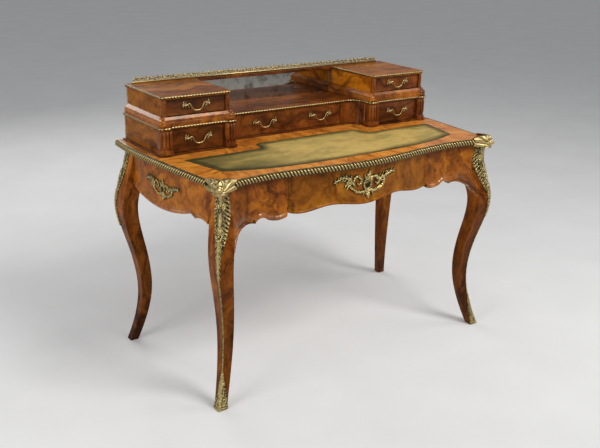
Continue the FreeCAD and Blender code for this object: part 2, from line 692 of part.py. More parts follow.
def border_strip(name, edge, outward):
    """The rounded brass border swept along a stretch of the top's edge."""
    start = edge.value(edge.FirstParameter) + UP * mm.top_underside
    across = edge.tangent(edge.FirstParameter)[0].cross(UP) * outward
    height = mm.gadroon_height
    depth = mm.gadroon_depth

    def at(out, up):
        return start + across * out + UP * up

    lip = depth / 3
    profile = joined([
        line(at(0, 0), at(0, height)),
        line(at(0, height), at(lip, height)),
        arc(at(lip, height), at(depth, height * 0.6), at(lip, 0)),
        line(at(lip, 0), at(0, 0)),
    ])
    spine = edge.copy()
    spine.translate(UP * mm.top_underside)
    sweep = Part.BRepOffsetAPI.MakePipeShell(Part.Wire(spine.toShape()))
    sweep.setBiNormalMode(UP)
    sweep.add(profile)
    sweep.build()
    sweep.makeSolid()
    return shaped(name, sweep.shape())


def gadroon_border():
    still = Vector()
    reach = mm.top_corner_x - mm.corner_wing
    strips = [border_strip("gadroon_front", piece(front_edge, -reach, reach, still), 1)]
    for side_name, side in SIDES:
        stretch = piece(side_edges[side], -mm.top_corner_y + mm.corner_wing, mm.top_back_y, still)
        strips.append(border_strip("gadroon_" + side_name, stretch, side))
    group("gadroon_border", strips)


def corner_mounts():
    """Shells on the front corners of the top, narrow below and spread above."""
    shares = ((0, 0.45, 0.5), (0.5, 0.85, 1), (1, 1, 0.7))
    shells = []
    for side_name, side in SIDES:
        tip = Vector(side * mm.top_corner_x, -mm.top_corner_y, 0)
        along_front = (front_edge.value(side * (mm.top_corner_x - mm.corner_wing)) - tip).normalize()
        along_side = (side_edges[side].value(mm.corner_wing - mm.top_corner_y) - tip).normalize()
        sections = []
        for rise, wing, depth in shares:
            corner = tip + UP * (mm.top_underside + rise * mm.corner_height)
            sections.append(angle_section(corner, along_front, along_side, mm.corner_gap,
                                          depth * mm.corner_depth,
                                          wing * (mm.corner_wing - mm.corner_end_gap)))
        shells.append(shaped("corner_mount_" + side_name, Part.makeLoft(sections, True, False)))
    group("corner_mounts", shells)


# Frieze drawer

def frieze_front_outline():
    """The drawer's lower edge: a lobe at each end, a rise, and a drop in the middle."""
    end = mm.frieze_drawer_x
    xs = [-end, -end * 0.84, -end * 0.5, 0, end * 0.5, end * 0.84, end]
    ends = (mm.drawer_lobe_height + 2 * mm.drawer_rise_height) / 3
    zs = [ends, mm.drawer_lobe_height, mm.drawer_rise_height, mm.drawer_middle_height,
          mm.drawer_rise_height, mm.drawer_lobe_height, ends]
    lower = curve([Vector(x, z, 0) for x, z in zip(xs, zs)], xs)
    top = mm.top_underside - mm.drawer_gap
    right = Vector(end, top, 0)
    left = Vector(-end, top, 0)
    return [lower, line(lower.EndPoint, right), line(right, left), line(left, lower.StartPoint)]


def frieze_drawer():
    reach = mm.frieze_drawer_x
    keep(front_board("frieze_drawer_front",
                     front_band(-reach, reach, mm.frieze_inset, mm.frieze_thickness),
                     frieze_front_outline()), "frieze_drawer_front")

    inside = mm.frieze_inset + mm.frieze_thickness
    box_x = mm.frieze_box_x
    start = front_edge.value(box_x).y + inside
    side_start = f"{start:.4f}"
    walls = "frieze_box_height", "top_underside - drawer_headroom"
    pieces = []
    for side_name, side in SIDES:
        x = on_side(side, ("frieze_box_x - drawer_side", "frieze_box_x"))
        wall = board("frieze_box_" + side_name, x, (side_start, "frieze_box_back_y"), walls)
        pieces.append(wall)
    inner = box_x - mm.drawer_side
    pieces.append(board("frieze_box_back", ("drawer_side - frieze_box_x", "frieze_box_x - drawer_side"),
                        ("frieze_box_back_y - drawer_side", "frieze_box_back_y"), walls))
    front = piece(front_edge, -inner, inner, Vector(0, inside, 0))
    back = [Vector(side * inner, mm.frieze_box_back_y - mm.drawer_side, 0) for side in (1, -1)]
    bottom = [front, line(front.EndPoint, back[0]), line(back[0], back[1]), line(back[1], front.StartPoint)]
    rise = "frieze_box_height + drawer_bottom_rise"
    pieces.append(padded("frieze_box_bottom", bottom, rise, "drawer_bottom"))
    group("frieze_drawer_box", pieces)

    plan = front_band(-mm.cartouche_half_width - mm.mount_gap, mm.cartouche_half_width + mm.mount_gap,
                      mm.frieze_inset - mm.cartouche_thickness, mm.cartouche_thickness)
    outline = cartouche_outline(0, mm.cartouche_height, mm.cartouche_half_width, mm.cartouche_half_height)
    keep(front_board("frieze_cartouche", plan, outline), "frieze_cartouche")


def frieze_runners():
    """Runners under the drawer's sides, each with a guide, from the front frieze to the back apron."""
    start = front_edge.value(mm.runner_outer).y + mm.frieze_inset + mm.frieze_thickness
    y = f"{start:.4f}", "back_apron_inner"
    pieces = []
    for side_name, side in SIDES:
        pieces.append(board("runner_" + side_name, on_side(side, ("runner_inner", "runner_outer")), y,
                            ("frieze_box_height - runner_thickness", "frieze_box_height")))
        pieces.append(board("runner_guide_" + side_name, on_side(side, ("guide_face", "runner_outer")), y,
                            ("frieze_box_height", "frieze_box_height + runner_guide_height")))
    group("frieze_runners", pieces)


# Lower tier

def tier_outline(spread):
    """Two pedestals with rounded ears at their front corners and a hollowed bay between them."""
    side_x = mm.tier_side_x + spread
    inner_x = mm.tier_inner_x - spread
    front = mm.tier_front_y - spread
    bay_y = mm.tier_centre_y - spread
    ear_y = mm.ear_front - spread
    ear = mm.ear_radius + spread
    hollow = mm.tier_return_radius - spread
    corner = 1 - math.sqrt(0.5)

    def half(side):
        def at(x, y):
            return Vector(side * x, y, 0)

        bay = at(inner_x - hollow, bay_y)
        bay_end = at(inner_x, bay_y - hollow)
        ear_side = at(inner_x, ear_y + ear)
        ear_face = at(inner_x + ear, ear_y)
        pedestal = [at(mm.ear_inner - mm.ear_depth, ear_y), at(mm.ear_inner, front),
                    at(mm.ear_outer, front), at(mm.ear_outer + mm.ear_depth, ear_y)]
        outer_face = at(side_x - ear, ear_y)
        outer_side = at(side_x, ear_y + ear)
        back = at(side_x, mm.tier_back_y)
        return bay, back, [
            arc(bay, at(inner_x - corner * hollow, bay_y - corner * hollow), bay_end),
            line(bay_end, ear_side),
            arc(ear_side, at(inner_x + corner * ear, ear_y + corner * ear), ear_face),
            line(ear_face, pedestal[0]),
            *[line(a, b) for a, b in zip(pedestal, pedestal[1:])],
            line(pedestal[3], outer_face),
            arc(outer_face, at(side_x - corner * ear, ear_y + corner * ear), outer_side),
            line(outer_side, back),
        ]

    right_bay, right_back, right = half(1)
    left_bay, left_back, left = half(-1)
    return [*right, line(right_back, left_back), *left, line(left_bay, right_bay)]


def pilaster_outline(side, plain_x, round_x, grow):
    """A post with one rounded front corner, grown on its free sides for the foot."""
    turn = 1 if round_x > plain_x else -1
    edge = round_x + turn * grow
    front = mm.ear_front + mm.shelf_overhang - grow
    radius = mm.ear_radius - mm.shelf_overhang / 2
    round_off = radius * (1 - math.sqrt(0.5))

    def at(x, y):
        return Vector(side * x, y, 0)

    corners = [at(plain_x, mm.pilaster_back), at(plain_x, front), at(edge - turn * radius, front),
               at(edge, front + radius), at(edge, mm.pilaster_back)]
    return [
        line(corners[0], corners[1]),
        line(corners[1], corners[2]),
        arc(corners[2], at(edge - turn * round_off, front + round_off), corners[3]),
        line(corners[3], corners[4]),
        line(corners[4], corners[0]),
    ]


def tier_pilasters():
    pieces = []
    for side_name, side in SIDES:
        places = (("outer", mm.ear_outer, mm.end_outer), ("inner", mm.ear_inner, mm.partition_outer))
        for place, plain_x, round_x in places:
            name = f"pilaster_{place}_{side_name}"
            body = padded(name, pilaster_outline(side, plain_x, round_x, 0), "tier_floor",
                          "shelf_underside - tier_floor")
            add_pad(body, name + "_foot", pilaster_outline(side, plain_x, round_x, mm.pilaster_foot_step),
                    "XY_Plane", "tier_floor", "pilaster_foot")
            pieces.append(body)
    group("tier_pilasters", pieces)


def tier_returns():
    """Hollowed blocks that turn from the inner pilasters back to the centre drawer."""
    radius = mm.tier_return_radius + mm.shelf_overhang
    middle_x = mm.tier_inner_x - mm.tier_return_radius
    middle_y = mm.tier_centre_y - mm.tier_return_radius
    slant = radius * math.sqrt(0.5)
    pieces = []
    for side_name, side in SIDES:
        corners = [Vector(side * x, y, 0) for x, y in (
            (mm.tier_return_x, middle_y + radius), (middle_x, middle_y + radius),
            (mm.partition_outer, middle_y), (mm.partition_outer, mm.bay_inside),
            (mm.tier_return_x, mm.bay_inside))]
        hollow = Vector(side * (middle_x + slant), middle_y + slant, 0)
        outline = [line(corners[0], corners[1]), arc(corners[1], hollow, corners[2])]
        outline += [line(a, b) for a, b in zip(corners[2:], corners[3:] + corners[:1])]
        pieces.append(padded("return_" + side_name, outline, "tier_floor", "shelf_underside - tier_floor"))
    group("tier_returns", pieces)


def rim(name, outline, top):
    """A brass line round an outline's front and sides, under a top plane."""
    face = Part.Face(joined(outline))
    back = face.BoundBox.YMax
    wide = face.makeOffset2D(mm.bead_depth).cut(face.makeOffset2D(mm.mount_gap))
    strip = wide.extrude(UP * mm.bead_height)
    limit = face.BoundBox
    limit.enlarge(2 * mm.bead_depth)
    behind = Part.makeBox(limit.XLength, limit.YLength, 2 * mm.bead_height,
                          Vector(limit.XMin, back, -mm.bead_height / 2))
    strip = strip.cut(behind)
    return shaped(name, strip.Solids[0], Placement(Vector(0, 0, top - mm.bead_height), Rotation()))


def lower_tier():
    keep(padded("tier_base", tier_outline(mm.tier_base_spread), "desk_height", "tier_base"), "tier_base")
    keep(padded("tier_shelf", tier_outline(0), "shelf_underside", "tier_shelf"), "tier_shelf")
    inside = ("tier_floor", "shelf_underside")
    guides = ("tier_floor", "tier_floor + guide_height")
    depth = ("pilaster_back", "tier_inside_y")
    ends = []
    partitions = []
    guide_pieces = []
    for side_name, side in SIDES:
        ends.append(board("end_" + side_name, on_side(side, ("end_inner", "end_outer")), depth, inside))
        partitions.append(board("partition_" + side_name,
                                on_side(side, ("partition_outer", "partition_inner")), depth, inside))
        places = (("outer", ("ear_outer", "end_inner"), depth),
                  ("inner", ("partition_inner", "ear_inner"), depth),
                  ("centre", ("tier_return_x", "partition_outer"), ("bay_inside", "tier_inside_y")))
        for place, x, y in places:
            guide_pieces.append(board(f"guide_{place}_{side_name}", on_side(side, x), y, guides))
    group("tier_ends", ends)
    group("tier_partitions", partitions)
    group("tier_guides", guide_pieces)
    backboard = board("tier_back", ("-end_outer", "end_outer"), ("tier_inside_y", "tier_back_y"), inside)
    keep(backboard, "tier_back")
    tier_pilasters()
    tier_returns()
    keep(rim("tier_brass_moulding", tier_outline(0), mm.shelf_height), "tier_brass_moulding")


# Upper boxes

def rectangle(x_low, x_high, y_low, y_high, z):
    corners = [Vector(x_low, y_low, z), Vector(x_high, y_low, z), Vector(x_high, y_high, z),
               Vector(x_low, y_high, z)]
    return Part.makePolygon(corners + corners[:1])


def plinth(name, side):
    """An upright fascia with a cove above it that draws in to the box."""
    cove = ((0, 0.9), (0.25, 0.5), (0.6, 0.15), (1, 0))
    cove_foot = mm.shelf_height + mm.plinth_fascia
    cove_height = mm.plinth_height - mm.plinth_fascia

    def section(share, z):
        spread = share * mm.plinth_spread
        x_low, x_high = sorted(side * x for x in (mm.upper_inner_x - spread, mm.upper_outer_x + spread))
        front = mm.upper_pilaster_face - share * mm.plinth_front_spread
        return rectangle(x_low, x_high, front, mm.tier_inside_y, z)

    fascia = Part.Face(section(1, mm.shelf_height)).extrude(UP * mm.plinth_fascia)
    sections = [section(share, cove_foot + rise * cove_height) for rise, share in cove]
    return shaped(name, fascia.fuse(Part.makeLoft(sections, True, False)).removeSplitter())


def upper_top_outline(side):
    """A box top with canted front corners."""
    inner = mm.upper_inner_x - mm.upper_top_overhang
    outer = mm.upper_outer_x + mm.upper_top_overhang
    cant = mm.upper_cant
    points = ((inner, mm.upper_top_back), (inner, mm.upper_top_front + cant),
              (inner + cant, mm.upper_top_front), (outer - cant, mm.upper_top_front),
              (outer, mm.upper_top_front + cant), (outer, mm.upper_top_back))
    return path([Vector(side * x, y, 0) for x, y in points])


def upper_pilaster_outline(side, wall_x, free_x, grow):
    """A small post in front of a box wall with its free front corner canted."""
    turn = 1 if free_x > wall_x else -1
    edge = free_x + turn * grow
    front = mm.upper_pilaster_face - grow
    cant = mm.upper_pilaster_cant
    points = ((wall_x, mm.upper_pilaster_back), (wall_x, front), (edge - turn * cant, front),
              (edge, front + cant), (edge, mm.upper_pilaster_back))
    return path([Vector(side * x, y, 0) for x, y in points])


def upper_boxes():
    walls = []
    tops = []
    plinths = []
    pilasters = []
    rims = []
    inside = ("plinth_top", "upper_ceiling")
    depth = ("upper_pilaster_back", "tier_inside_y")
    for side_name, side in SIDES:
        plinths.append(plinth("plinth_" + side_name, side))
        planes = (("outer", "wall_outer", "upper_outer_x"), ("inner", "upper_inner_x", "wall_inner"))
        for place, low, high in planes:
            walls.append(board(f"wall_{place}_{side_name}", on_side(side, (low, high)), depth, inside))
        posts = (("outer", mm.wall_outer, mm.upper_outer_x), ("inner", mm.wall_inner, mm.upper_inner_x))
        for place, wall_x, free_x in posts:
            name = f"upper_pilaster_{place}_{side_name}"
            body = padded(name, upper_pilaster_outline(side, wall_x, free_x, 0), "plinth_top",
                          "upper_ceiling - plinth_top")
            foot = upper_pilaster_outline(side, wall_x, free_x, mm.upper_pilaster_step)
            add_pad(body, name + "_foot", foot, "XY_Plane", "plinth_top", "upper_pilaster_foot")
            pilasters.append(body)
        tops.append(padded("upper_top_" + side_name, upper_top_outline(side), "upper_ceiling", "upper_top"))
        rims.append(rim("upper_brass_" + side_name, upper_top_outline(side), mm.upper_top_height))
    group("upper_plinths", plinths)
    group("upper_carcases", walls)
    group("upper_pilasters", pilasters)
    group("upper_tops", tops)
    group("upper_brass_moulding", rims)


def mirror():
    bay = ("shelf_height", "upper_ceiling")
    inner = "upper_inner_x - upper_top_overhang"
    width = ("-upper_outer_x", "upper_outer_x")
    keep(board("mirror_backboard", width, ("tier_inside_y", "tier_back_y"), bay), "mirror_backboard")
    keep(board("mirror_glass", ("-mirror_x", "mirror_x"),
               ("tier_inside_y - mirror_thickness", "tier_inside_y"), bay), "mirror_glass")
    keep(board("mirror_rail", (f"bead_depth - ({inner})", f"{inner} - bead_depth"),
               ("upper_top_back - rail_depth", "upper_top_back"), ("upper_ceiling", "upper_top_height")),
         "mirror_rail")


def gallery():
    """A pierced brass strip with rounded upper ends."""
    height = mm.gallery_height
    reach = mm.gallery_x
    slope = height * (1 - math.sqrt(0.5))

    def at(x, z):
        return Vector(x, mm.gallery_y, mm.upper_top_height + z)

    edges = [
        line(at(-reach, 0), at(reach, 0)),
        arc(at(reach, 0), at(reach - slope, height - slope), at(reach - height, height)),
        line(at(reach - height, height), at(height - reach, height)),
        arc(at(height - reach, height), at(slope - reach, height - slope), at(-reach, 0)),
    ]
    wires = [joined(edges)]
    count = round((2 * reach - 2 * height) / mm.gallery_pitch)
    for step in range(count):
        x = (step - (count - 1) / 2) * mm.gallery_pitch
        hole = Part.Circle(at(x, (mm.gallery_base + height) / 2), Vector(0, 1, 0), mm.gallery_piercing)
        wires.append(Part.Wire([hole.toShape()]))
    plate = Part.makeFace(wires, "Part::FaceMakerBullseye").extrude(Vector(0, mm.gallery_thickness, 0))
    keep(shaped("gallery", plate), "gallery")


# Drawers of the tier and their swan-neck handles

def bail_shape():
    """A bent wire about its pivot: pin, neck, slope and bow, alike on both sides."""
    lean = math.radians(mm.bail_lean)
    bends = (mm.bail_neck_radius + mm.bail_bow_radius) * (1 - math.cos(lean))
    slope = (mm.handle_drop - bends) / math.sin(lean)

    def turned(radius, angle):
        return Vector(radius * math.sin(angle), 0, -radius * (1 - math.cos(angle)))

    pin = Vector(-mm.handle_span / 2 - mm.post_radius, 0, 0)
    neck = Vector(-mm.handle_span / 2 + mm.post_radius + mm.bail_radius, 0, 0)
    neck_middle = neck + turned(mm.bail_neck_radius, lean / 2)
    neck_end = neck + turned(mm.bail_neck_radius, lean)
    bow = neck_end + Vector(slope * math.cos(lean), 0, -slope * math.sin(lean))
    bow_end = bow + turned(mm.bail_bow_radius, lean)
    bow_middle = bow_end - turned(mm.bail_bow_radius, lean / 2)
    left = [pin, neck, neck_middle, neck_end, bow, bow_middle, bow_end]
    right = [Vector(-point.x, 0, point.z) for point in left]

    edges = [line(left[-1], right[-1])]
    for half in (left, right):
        edges += [line(half[0], half[1]), arc(*half[1:4]), line(half[3], half[4]), arc(*half[4:7])]
    section = Part.Wire([Part.Circle(pin, Vector(1, 0, 0), mm.bail_radius).toShape()])
    return joined(edges).makePipeShell([section], True, False)


def handle_posts(name, x, front, z):
    """Two rosettes, each with a post that is bored across for the bail's pin."""
    forward = Rotation(Vector(1, 0, 0), 90)
    across = Rotation(Vector(0, 1, 0), 90)
    posts = []
    for side_name, side in SIDES:
        label = f"{name}_{side_name}"
        middle = f"{x} + ({side}) * handle_span / 2"
        place = (middle, front, z)
        rosette = rod(label + "_rosette", "rosette_radius", "rosette_thickness", place, forward)
        post = rod(label + "_post", "post_radius", "handle_standoff + post_radius", place, forward)
        bore = rod(label + "_bore", "bail_radius + bail_clearance", "3 * post_radius",
                   (f"{middle} - 1.5 * post_radius", f"{front} - handle_standoff", z), across)
        whole = boolean("Fuse", label + "_whole", rosette, post)
        posts.append(boolean("Cut", label, whole, bore))
    return posts


def bail(name, x, front, z):
    place = Placement(Vector(x, front - mm.handle_standoff, z), Rotation())
    keep(shaped(name, bail_shape(), place), name)


def drawer(name, x, front, z):
    """A drawer front and, behind it, a box of two sides, a back and a bottom."""
    x_low, x_high = f"{x[0]} + drawer_gap", f"{x[1]} - drawer_gap"
    floor, ceiling = z
    behind = f"{front} + drawer_front"
    back = "tier_inside_y - drawer_stop"
    keep(board(name + "_front", (x_low, x_high), (front, behind),
               (f"{floor} + drawer_gap", f"{ceiling} - drawer_gap")), name + "_front")
    walls = (floor, f"{ceiling} - drawer_headroom")
    inner = (f"{x_low} + drawer_side", f"{x_high} - drawer_side")
    bottom = (f"{floor} + drawer_bottom_rise", f"{floor} + drawer_bottom_rise + drawer_bottom")
    group(name + "_box", [
        board(name + "_side_low", (x_low, inner[0]), (behind, back), walls),
        board(name + "_side_high", (inner[1], x_high), (behind, back), walls),
        board(name + "_back", inner, (f"{back} - drawer_side", back), walls),
        board(name + "_bottom", inner, (behind, f"{back} - drawer_side"), bottom),
    ])


def drawers():
    upper_z = ("plinth_top", "upper_ceiling")
    lower_z = ("tier_floor", "shelf_underside")
    rows = (("upper", ("wall_inner", "wall_outer"), "upper_front_y", upper_z),
            ("lower", ("ear_inner", "ear_outer"), "lower_front", lower_z))
    for side_name, side in SIDES:
        for row, x, front, z in rows:
            name = f"{side_name}_{row}"
            drawer(name + "_drawer", on_side(side, x), front, z)
            middle_x = f"({side}) * ({x[0]} + {x[1]}) / 2"
            middle_z = f"({z[0]} + {z[1]}) / 2 + handle_rise"
            group(name + "_handle_posts", handle_posts(name + "_handle", middle_x, front, middle_z))
            bail(name + "_bail", side * (getattr(mm, x[0]) + getattr(mm, x[1])) / 2, getattr(mm, front),
                 (getattr(mm, z[0]) + getattr(mm, z[1])) / 2 + mm.handle_rise)
    drawer("centre_drawer", ("-tier_return_x", "tier_return_x"), "bay_front", lower_z)
    middle_z = "(tier_floor + shelf_underside) / 2 + handle_rise"
    posts = []
    for side_name, side in SIDES:
        middle_x = f"({side}) * centre_handle_x"
        posts += handle_posts(f"centre_{side_name}_handle", middle_x, "bay_front", middle_z)
        bail(f"centre_{side_name}_bail", side * mm.centre_handle_x, mm.bay_front,
             (mm.tier_floor + mm.shelf_underside) / 2 + mm.handle_rise)
    group("centre_handle_posts", posts)


def build():
    legs = {(row, side): leg(row, side_name, side) for row in ("front", "back") for side_name, side in SIDES}
    leg_mounts()
    front_aprons(legs)
    side_aprons(legs)
    back_apron(legs)
    side_cartouches()
    table_top()
    gadroon_border()
    corner_mounts()
    frieze_drawer()
    frieze_runners()
    lower_tier()
    upper_boxes()
    mirror()
    gallery()
    drawers()
    doc.recompute()


def check():
    """Stops if any object failed to compute or any sub-part is empty or invalid."""
    failed = [obj.Name for obj in doc.Objects if {"Invalid", "Error"} & set(obj.State)]
    shapes = [(obj.Label, obj.Shape) for obj in nodes]
    empty = [label for label, shape in shapes if shape.isNull() or not shape.isValid() or not shape.Solids]
    if failed or empty:
        raise RuntimeError(f"failed: {failed}, empty or invalid: {empty}")


def write():
    os.makedirs("parts", exist_ok=True)
    for obj in nodes:
        obj.Shape.exportStep(f"parts/{obj.Label}.step")
    print(len(nodes), "sub-parts written")


build()
check()
write()
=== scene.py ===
"""The looks of a burr walnut bonheur du jour with gilt-brass mounts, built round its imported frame."""

import math

import bmesh
import bpy
import numpy as np
from mathutils import Matrix, Vector, bvhtree, geometry


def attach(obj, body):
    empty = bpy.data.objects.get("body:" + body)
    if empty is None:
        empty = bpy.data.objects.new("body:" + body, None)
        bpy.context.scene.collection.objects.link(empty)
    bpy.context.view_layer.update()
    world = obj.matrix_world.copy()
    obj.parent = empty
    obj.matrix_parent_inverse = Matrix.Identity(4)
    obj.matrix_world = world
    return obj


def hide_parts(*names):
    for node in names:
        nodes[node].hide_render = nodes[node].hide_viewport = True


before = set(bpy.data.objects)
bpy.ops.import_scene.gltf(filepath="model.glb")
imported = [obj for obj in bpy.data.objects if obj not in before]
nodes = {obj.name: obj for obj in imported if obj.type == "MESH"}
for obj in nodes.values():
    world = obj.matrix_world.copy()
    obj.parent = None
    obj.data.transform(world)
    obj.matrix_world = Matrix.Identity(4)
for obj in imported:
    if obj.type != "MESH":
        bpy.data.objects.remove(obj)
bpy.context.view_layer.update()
SIDES = (("left", -1), ("right", 1))
BOTH = (-1, 1)

# Main sizes, in millimetres
METRE = 1000.0
TOP = 735.0
UNDERSIDE = 713.0
SHELF_TOP = 828.0
BOX_TOP = 924.0
TOP_CORNER = (556.0, 303.0)
LEATHER_CORNER = (483.0, 190.0)
UP = np.array((0.0, 0.0, 1.0))
FRONT = np.array((0.0, -1.0, 0.0))


# Materials

class Shader:
    """A material's node tree, with short ways to add nodes and join them."""

    def __init__(self, name):
        self.material = bpy.data.materials.new(name)
        self.material.use_nodes = True
        self.tree = self.material.node_tree
        self.surface = self.tree.nodes["Principled BSDF"]
        self.own = self.add("TexCoord").outputs["Object"]

    def feed(self, socket, value):
        if isinstance(value, bpy.types.NodeSocket):
            self.tree.links.new(value, socket)
        else:
            socket.default_value = value

    def add(self, kind, inputs=(), **settings):
        node = self.tree.nodes.new("ShaderNode" + kind)
        for key, value in settings.items():
            setattr(node, key, value)
        for key, value in dict(inputs).items():
            self.feed(node.inputs[key], value)
        return node

    def set(self, **sockets):
        for key, value in sockets.items():
            self.feed(self.surface.inputs[key.replace("_", " ")], value)

    def scaled(self, place, scale):
        return self.add("Mapping", {"Vector": place, "Scale": scale}).outputs["Vector"]

    def coordinate(self, axis):
        return self.add("SeparateXYZ", {"Vector": self.own}).outputs[axis]

    def math(self, operation, first, second=0.0):
        return self.add("Math", {0: first, 1: second}, operation=operation).outputs[0]

    def vector(self, operation, first, second):
        return self.add("VectorMath", {0: first, 1: second}, operation=operation).outputs[0]

    def noise(self, place, scale, detail=4.0, roughness=0.55, distortion=0.0, output="Fac"):
        inputs = {"Vector": place, "Scale": scale, "Detail": detail, "Roughness": roughness,
                  "Distortion": distortion}
        return self.add("TexNoise", inputs).outputs[output]

    def cells(self, place, scale, feature="F1"):
        inputs = {"Vector": place, "Scale": scale}
        return self.add("TexVoronoi", inputs, feature=feature).outputs["Distance"]

    def lift(self, cloud, sway):
        """The brightness stored with each point, stirred by a cloud: painted highlight and shade on the
        brass, the share of the worn middle on the leather.
        """
        stored = self.add("Attribute", attribute_name="lift").outputs["Fac"]
        return self.math("ADD", stored, self.math("MULTIPLY", self.math("SUBTRACT", cloud, 0.5), sway))

    def remap(self, value, low, high, start=0.0, end=1.0):
        inputs = {"Value": value, "From Min": start, "From Max": end, "To Min": low, "To Max": high}
        return self.add("MapRange", inputs).outputs["Result"]

    def ramp(self, value, stops):
        """Colours or grey levels at places along a value."""
        node = self.add("ValToRGB", {"Fac": value})
        elements = node.color_ramp.elements
        while len(elements) < len(stops):
            elements.new(0.5)
        for element, (place, tone) in zip(elements, stops):
            element.position = place
            element.color = (*tone, 1) if isinstance(tone, tuple) else (tone, tone, tone, 1)
        return node.outputs["Color"]

    def multiply(self, share, first, second):
        inputs = {0: share, 6: first, 7: second}
        return self.add("Mix", inputs, data_type="RGBA", blend_type="MULTIPLY").outputs[2]

    def bump(self, height, strength, distance, normal=None):
        inputs = {"Height": height, "Strength": strength, "Distance": distance}
        if normal is not None:
            inputs["Normal"] = normal
        return self.add("Bump", inputs).outputs["Normal"]


AMBER = (1.0, 0.72, 0.45, 1.0)
GRAINS = {"x": (1.3, 9, 9), "y": (9, 1.3, 9), "z": (9, 9, 1.3), "burr": (6, 6, 4)}
FIGURE_STOPS = (0.26, 0.40, 0.52, 0.68)
EDGE_ROUNDING = 0.0012
MITRE_SLOPE = (TOP_CORNER[0] - LEATHER_CORNER[0]) / (TOP_CORNER[1] - LEATHER_CORNER[1])


def crossband(s):
    """Grain across the border of the top, mitred at the front corners."""
    leather_x, leather_y = (size / METRE for size in LEATHER_CORNER)
    ahead = s.math("SUBTRACT", -leather_y, s.coordinate("Y"))
    mitre = s.math("ADD", s.math("MULTIPLY", ahead, MITRE_SLOPE), leather_x)
    at_side = s.math("GREATER_THAN", s.math("ABSOLUTE", s.coordinate("X")), mitre)
    inputs = {0: at_side, 4: s.scaled(s.own, (13, 1.6, 9)), 5: s.scaled(s.own, (1.6, 13, 9))}
    return s.add("Mix", inputs, data_type="VECTOR").outputs[1]


def wood(name, tones, grain, burr, lines, film=1.0, gloss=0.2, painted_light=None):
    """Polished veneer: figure along the grain, dark lines, burr eyes, pores and a film of polish."""
    s = Shader(name)
    stretched = s.scaled(s.own, GRAINS[grain]) if grain in GRAINS else crossband(s)
    drift = s.vector("SUBTRACT", s.noise(s.own, 5.0, 3.0, output="Color"), (0.5, 0.5, 0.5))
    warped = s.vector("ADD", stretched, s.vector("MULTIPLY", drift, (1.6, 1.6, 1.6)))
    colour = s.ramp(s.noise(warped, 1.5, 7.0, 0.62, 0.7), tuple(zip(FIGURE_STOPS, tones)))
    waves = {"Vector": warped, "Scale": 1.3, "Distortion": 7.0, "Detail": 4.0, "Detail Scale": 1.6,
             "Detail Roughness": 0.65}
    bands = s.add("TexWave", waves, wave_type="BANDS", bands_direction="DIAGONAL").outputs["Fac"]
    colour = s.multiply(lines, colour, s.ramp(bands, ((0.0, 0.28), (0.16, 0.8), (0.4, 1.0))))
    around = s.vector("ADD", s.own, s.vector("MULTIPLY", drift, (0.05, 0.05, 0.05)))
    eyes = s.ramp(s.cells(around, 62.0, "SMOOTH_F1"), ((0.08, 0.25), (0.3, 0.85), (0.55, 1.1)))
    patches = s.ramp(s.noise(s.own, 9.0, 3.0), ((0.45, 0.0), (0.62, burr)))
    colour = s.multiply(patches, colour, eyes)
    pores = s.noise(s.scaled(stretched, (55, 55, 55)), 1.0, 2.0)
    colour = s.multiply(0.55, colour, s.ramp(pores, ((0.3, 0.55), (0.5, 1.0))))
    # Painted light: the tones multiplied along an axis, as the light falls on the part.
    if painted_light:
        axis, (start, low), (end, high) = painted_light
        colour = s.multiply(1.0, colour, s.remap(s.coordinate(axis), low, high, start, end))
    rough = s.remap(s.noise(s.own, 14.0, 5.0), gloss, gloss + 0.16)
    s.set(Base_Color=colour, Roughness=rough, Specular_IOR_Level=0.22 * film, Specular_Tint=AMBER)
    s.set(Coat_Weight=0.2 * film, Coat_Roughness=0.08)
    round_edges = s.add("Bevel", {"Radius": EDGE_ROUNDING}, samples=4).outputs["Normal"]
    ripple = s.bump(s.noise(s.own, 22.0, 3.0), 0.12, 0.004, round_edges)
    s.set(Normal=s.bump(pores, 0.05, 0.0006, ripple))
    return s.material


def brass(name, bright, dim, rough=0.3, chasing=0.0):
    """Gilt brass: painted highlight where it stands out and darker hollows, partly patina and partly painted
    shade; satin or chased.
    """
    s = Shader(name)
    cloud = s.noise(s.own, 90.0)
    height = s.lift(cloud, 0.5)
    normal = s.bump(s.noise(s.own, 420.0, 3.0), 0.22, 0.0008)
    if chasing:
        # Chased bosses raise the stored brightness: painted speckled highlights, with darker cell edges that
        # are partly patina and partly painted shade.
        bosses = s.math("SUBTRACT", 0.42, s.cells(s.own, 230.0))
        height = s.math("ADD", height, s.math("MULTIPLY", bosses, chasing))
        normal = s.bump(bosses, 0.7 * chasing, 0.003, normal)
    s.set(Base_Color=s.ramp(height, ((0.12, dim), (0.62, bright))), Metallic=0.92, Normal=normal)
    s.set(Roughness=s.remap(cloud, rough - 0.06, rough + 0.22))
    return s.material


LEATHER_TONES = (
    (0.0, (0.060, 0.050, 0.016)), (0.3, (0.140, 0.108, 0.032)),
    (0.7, (0.300, 0.205, 0.056)), (1.0, (0.520, 0.350, 0.106)),
)


def leather():
    """Worn skiver, tan and olive in the middle, dark green along its edges."""
    s = Shader("leather")
    cloud = s.noise(s.scaled(s.own, (2.2, 6, 1)), 2.4, 6.0, 0.6)
    dark_left = s.remap(s.coordinate("X"), -0.6, 0.0, -0.5, -0.1)
    colour = s.ramp(s.math("ADD", s.lift(cloud, 1.4), dark_left), LEATHER_TONES)
    scuffs = s.noise(s.scaled(s.own, (30, 90, 1)), 1.0, 5.0)
    colour = s.multiply(0.6, colour, s.ramp(scuffs, ((0.32, 0.5), (0.45, 1.0))))
    blotches = s.noise(s.scaled(s.own, (9, 13, 1)), 1.0, 4.0, 0.65)
    colour = s.multiply(0.8, colour, s.ramp(blotches, ((0.36, (0.66, 0.76, 0.70)), (0.58, 1.0))))
    s.set(Base_Color=colour, Specular_IOR_Level=0.12, Roughness=s.remap(cloud, 0.42, 0.62))
    s.set(Normal=s.bump(s.cells(s.own, 700.0), 0.2, 0.0005))
    return s.material


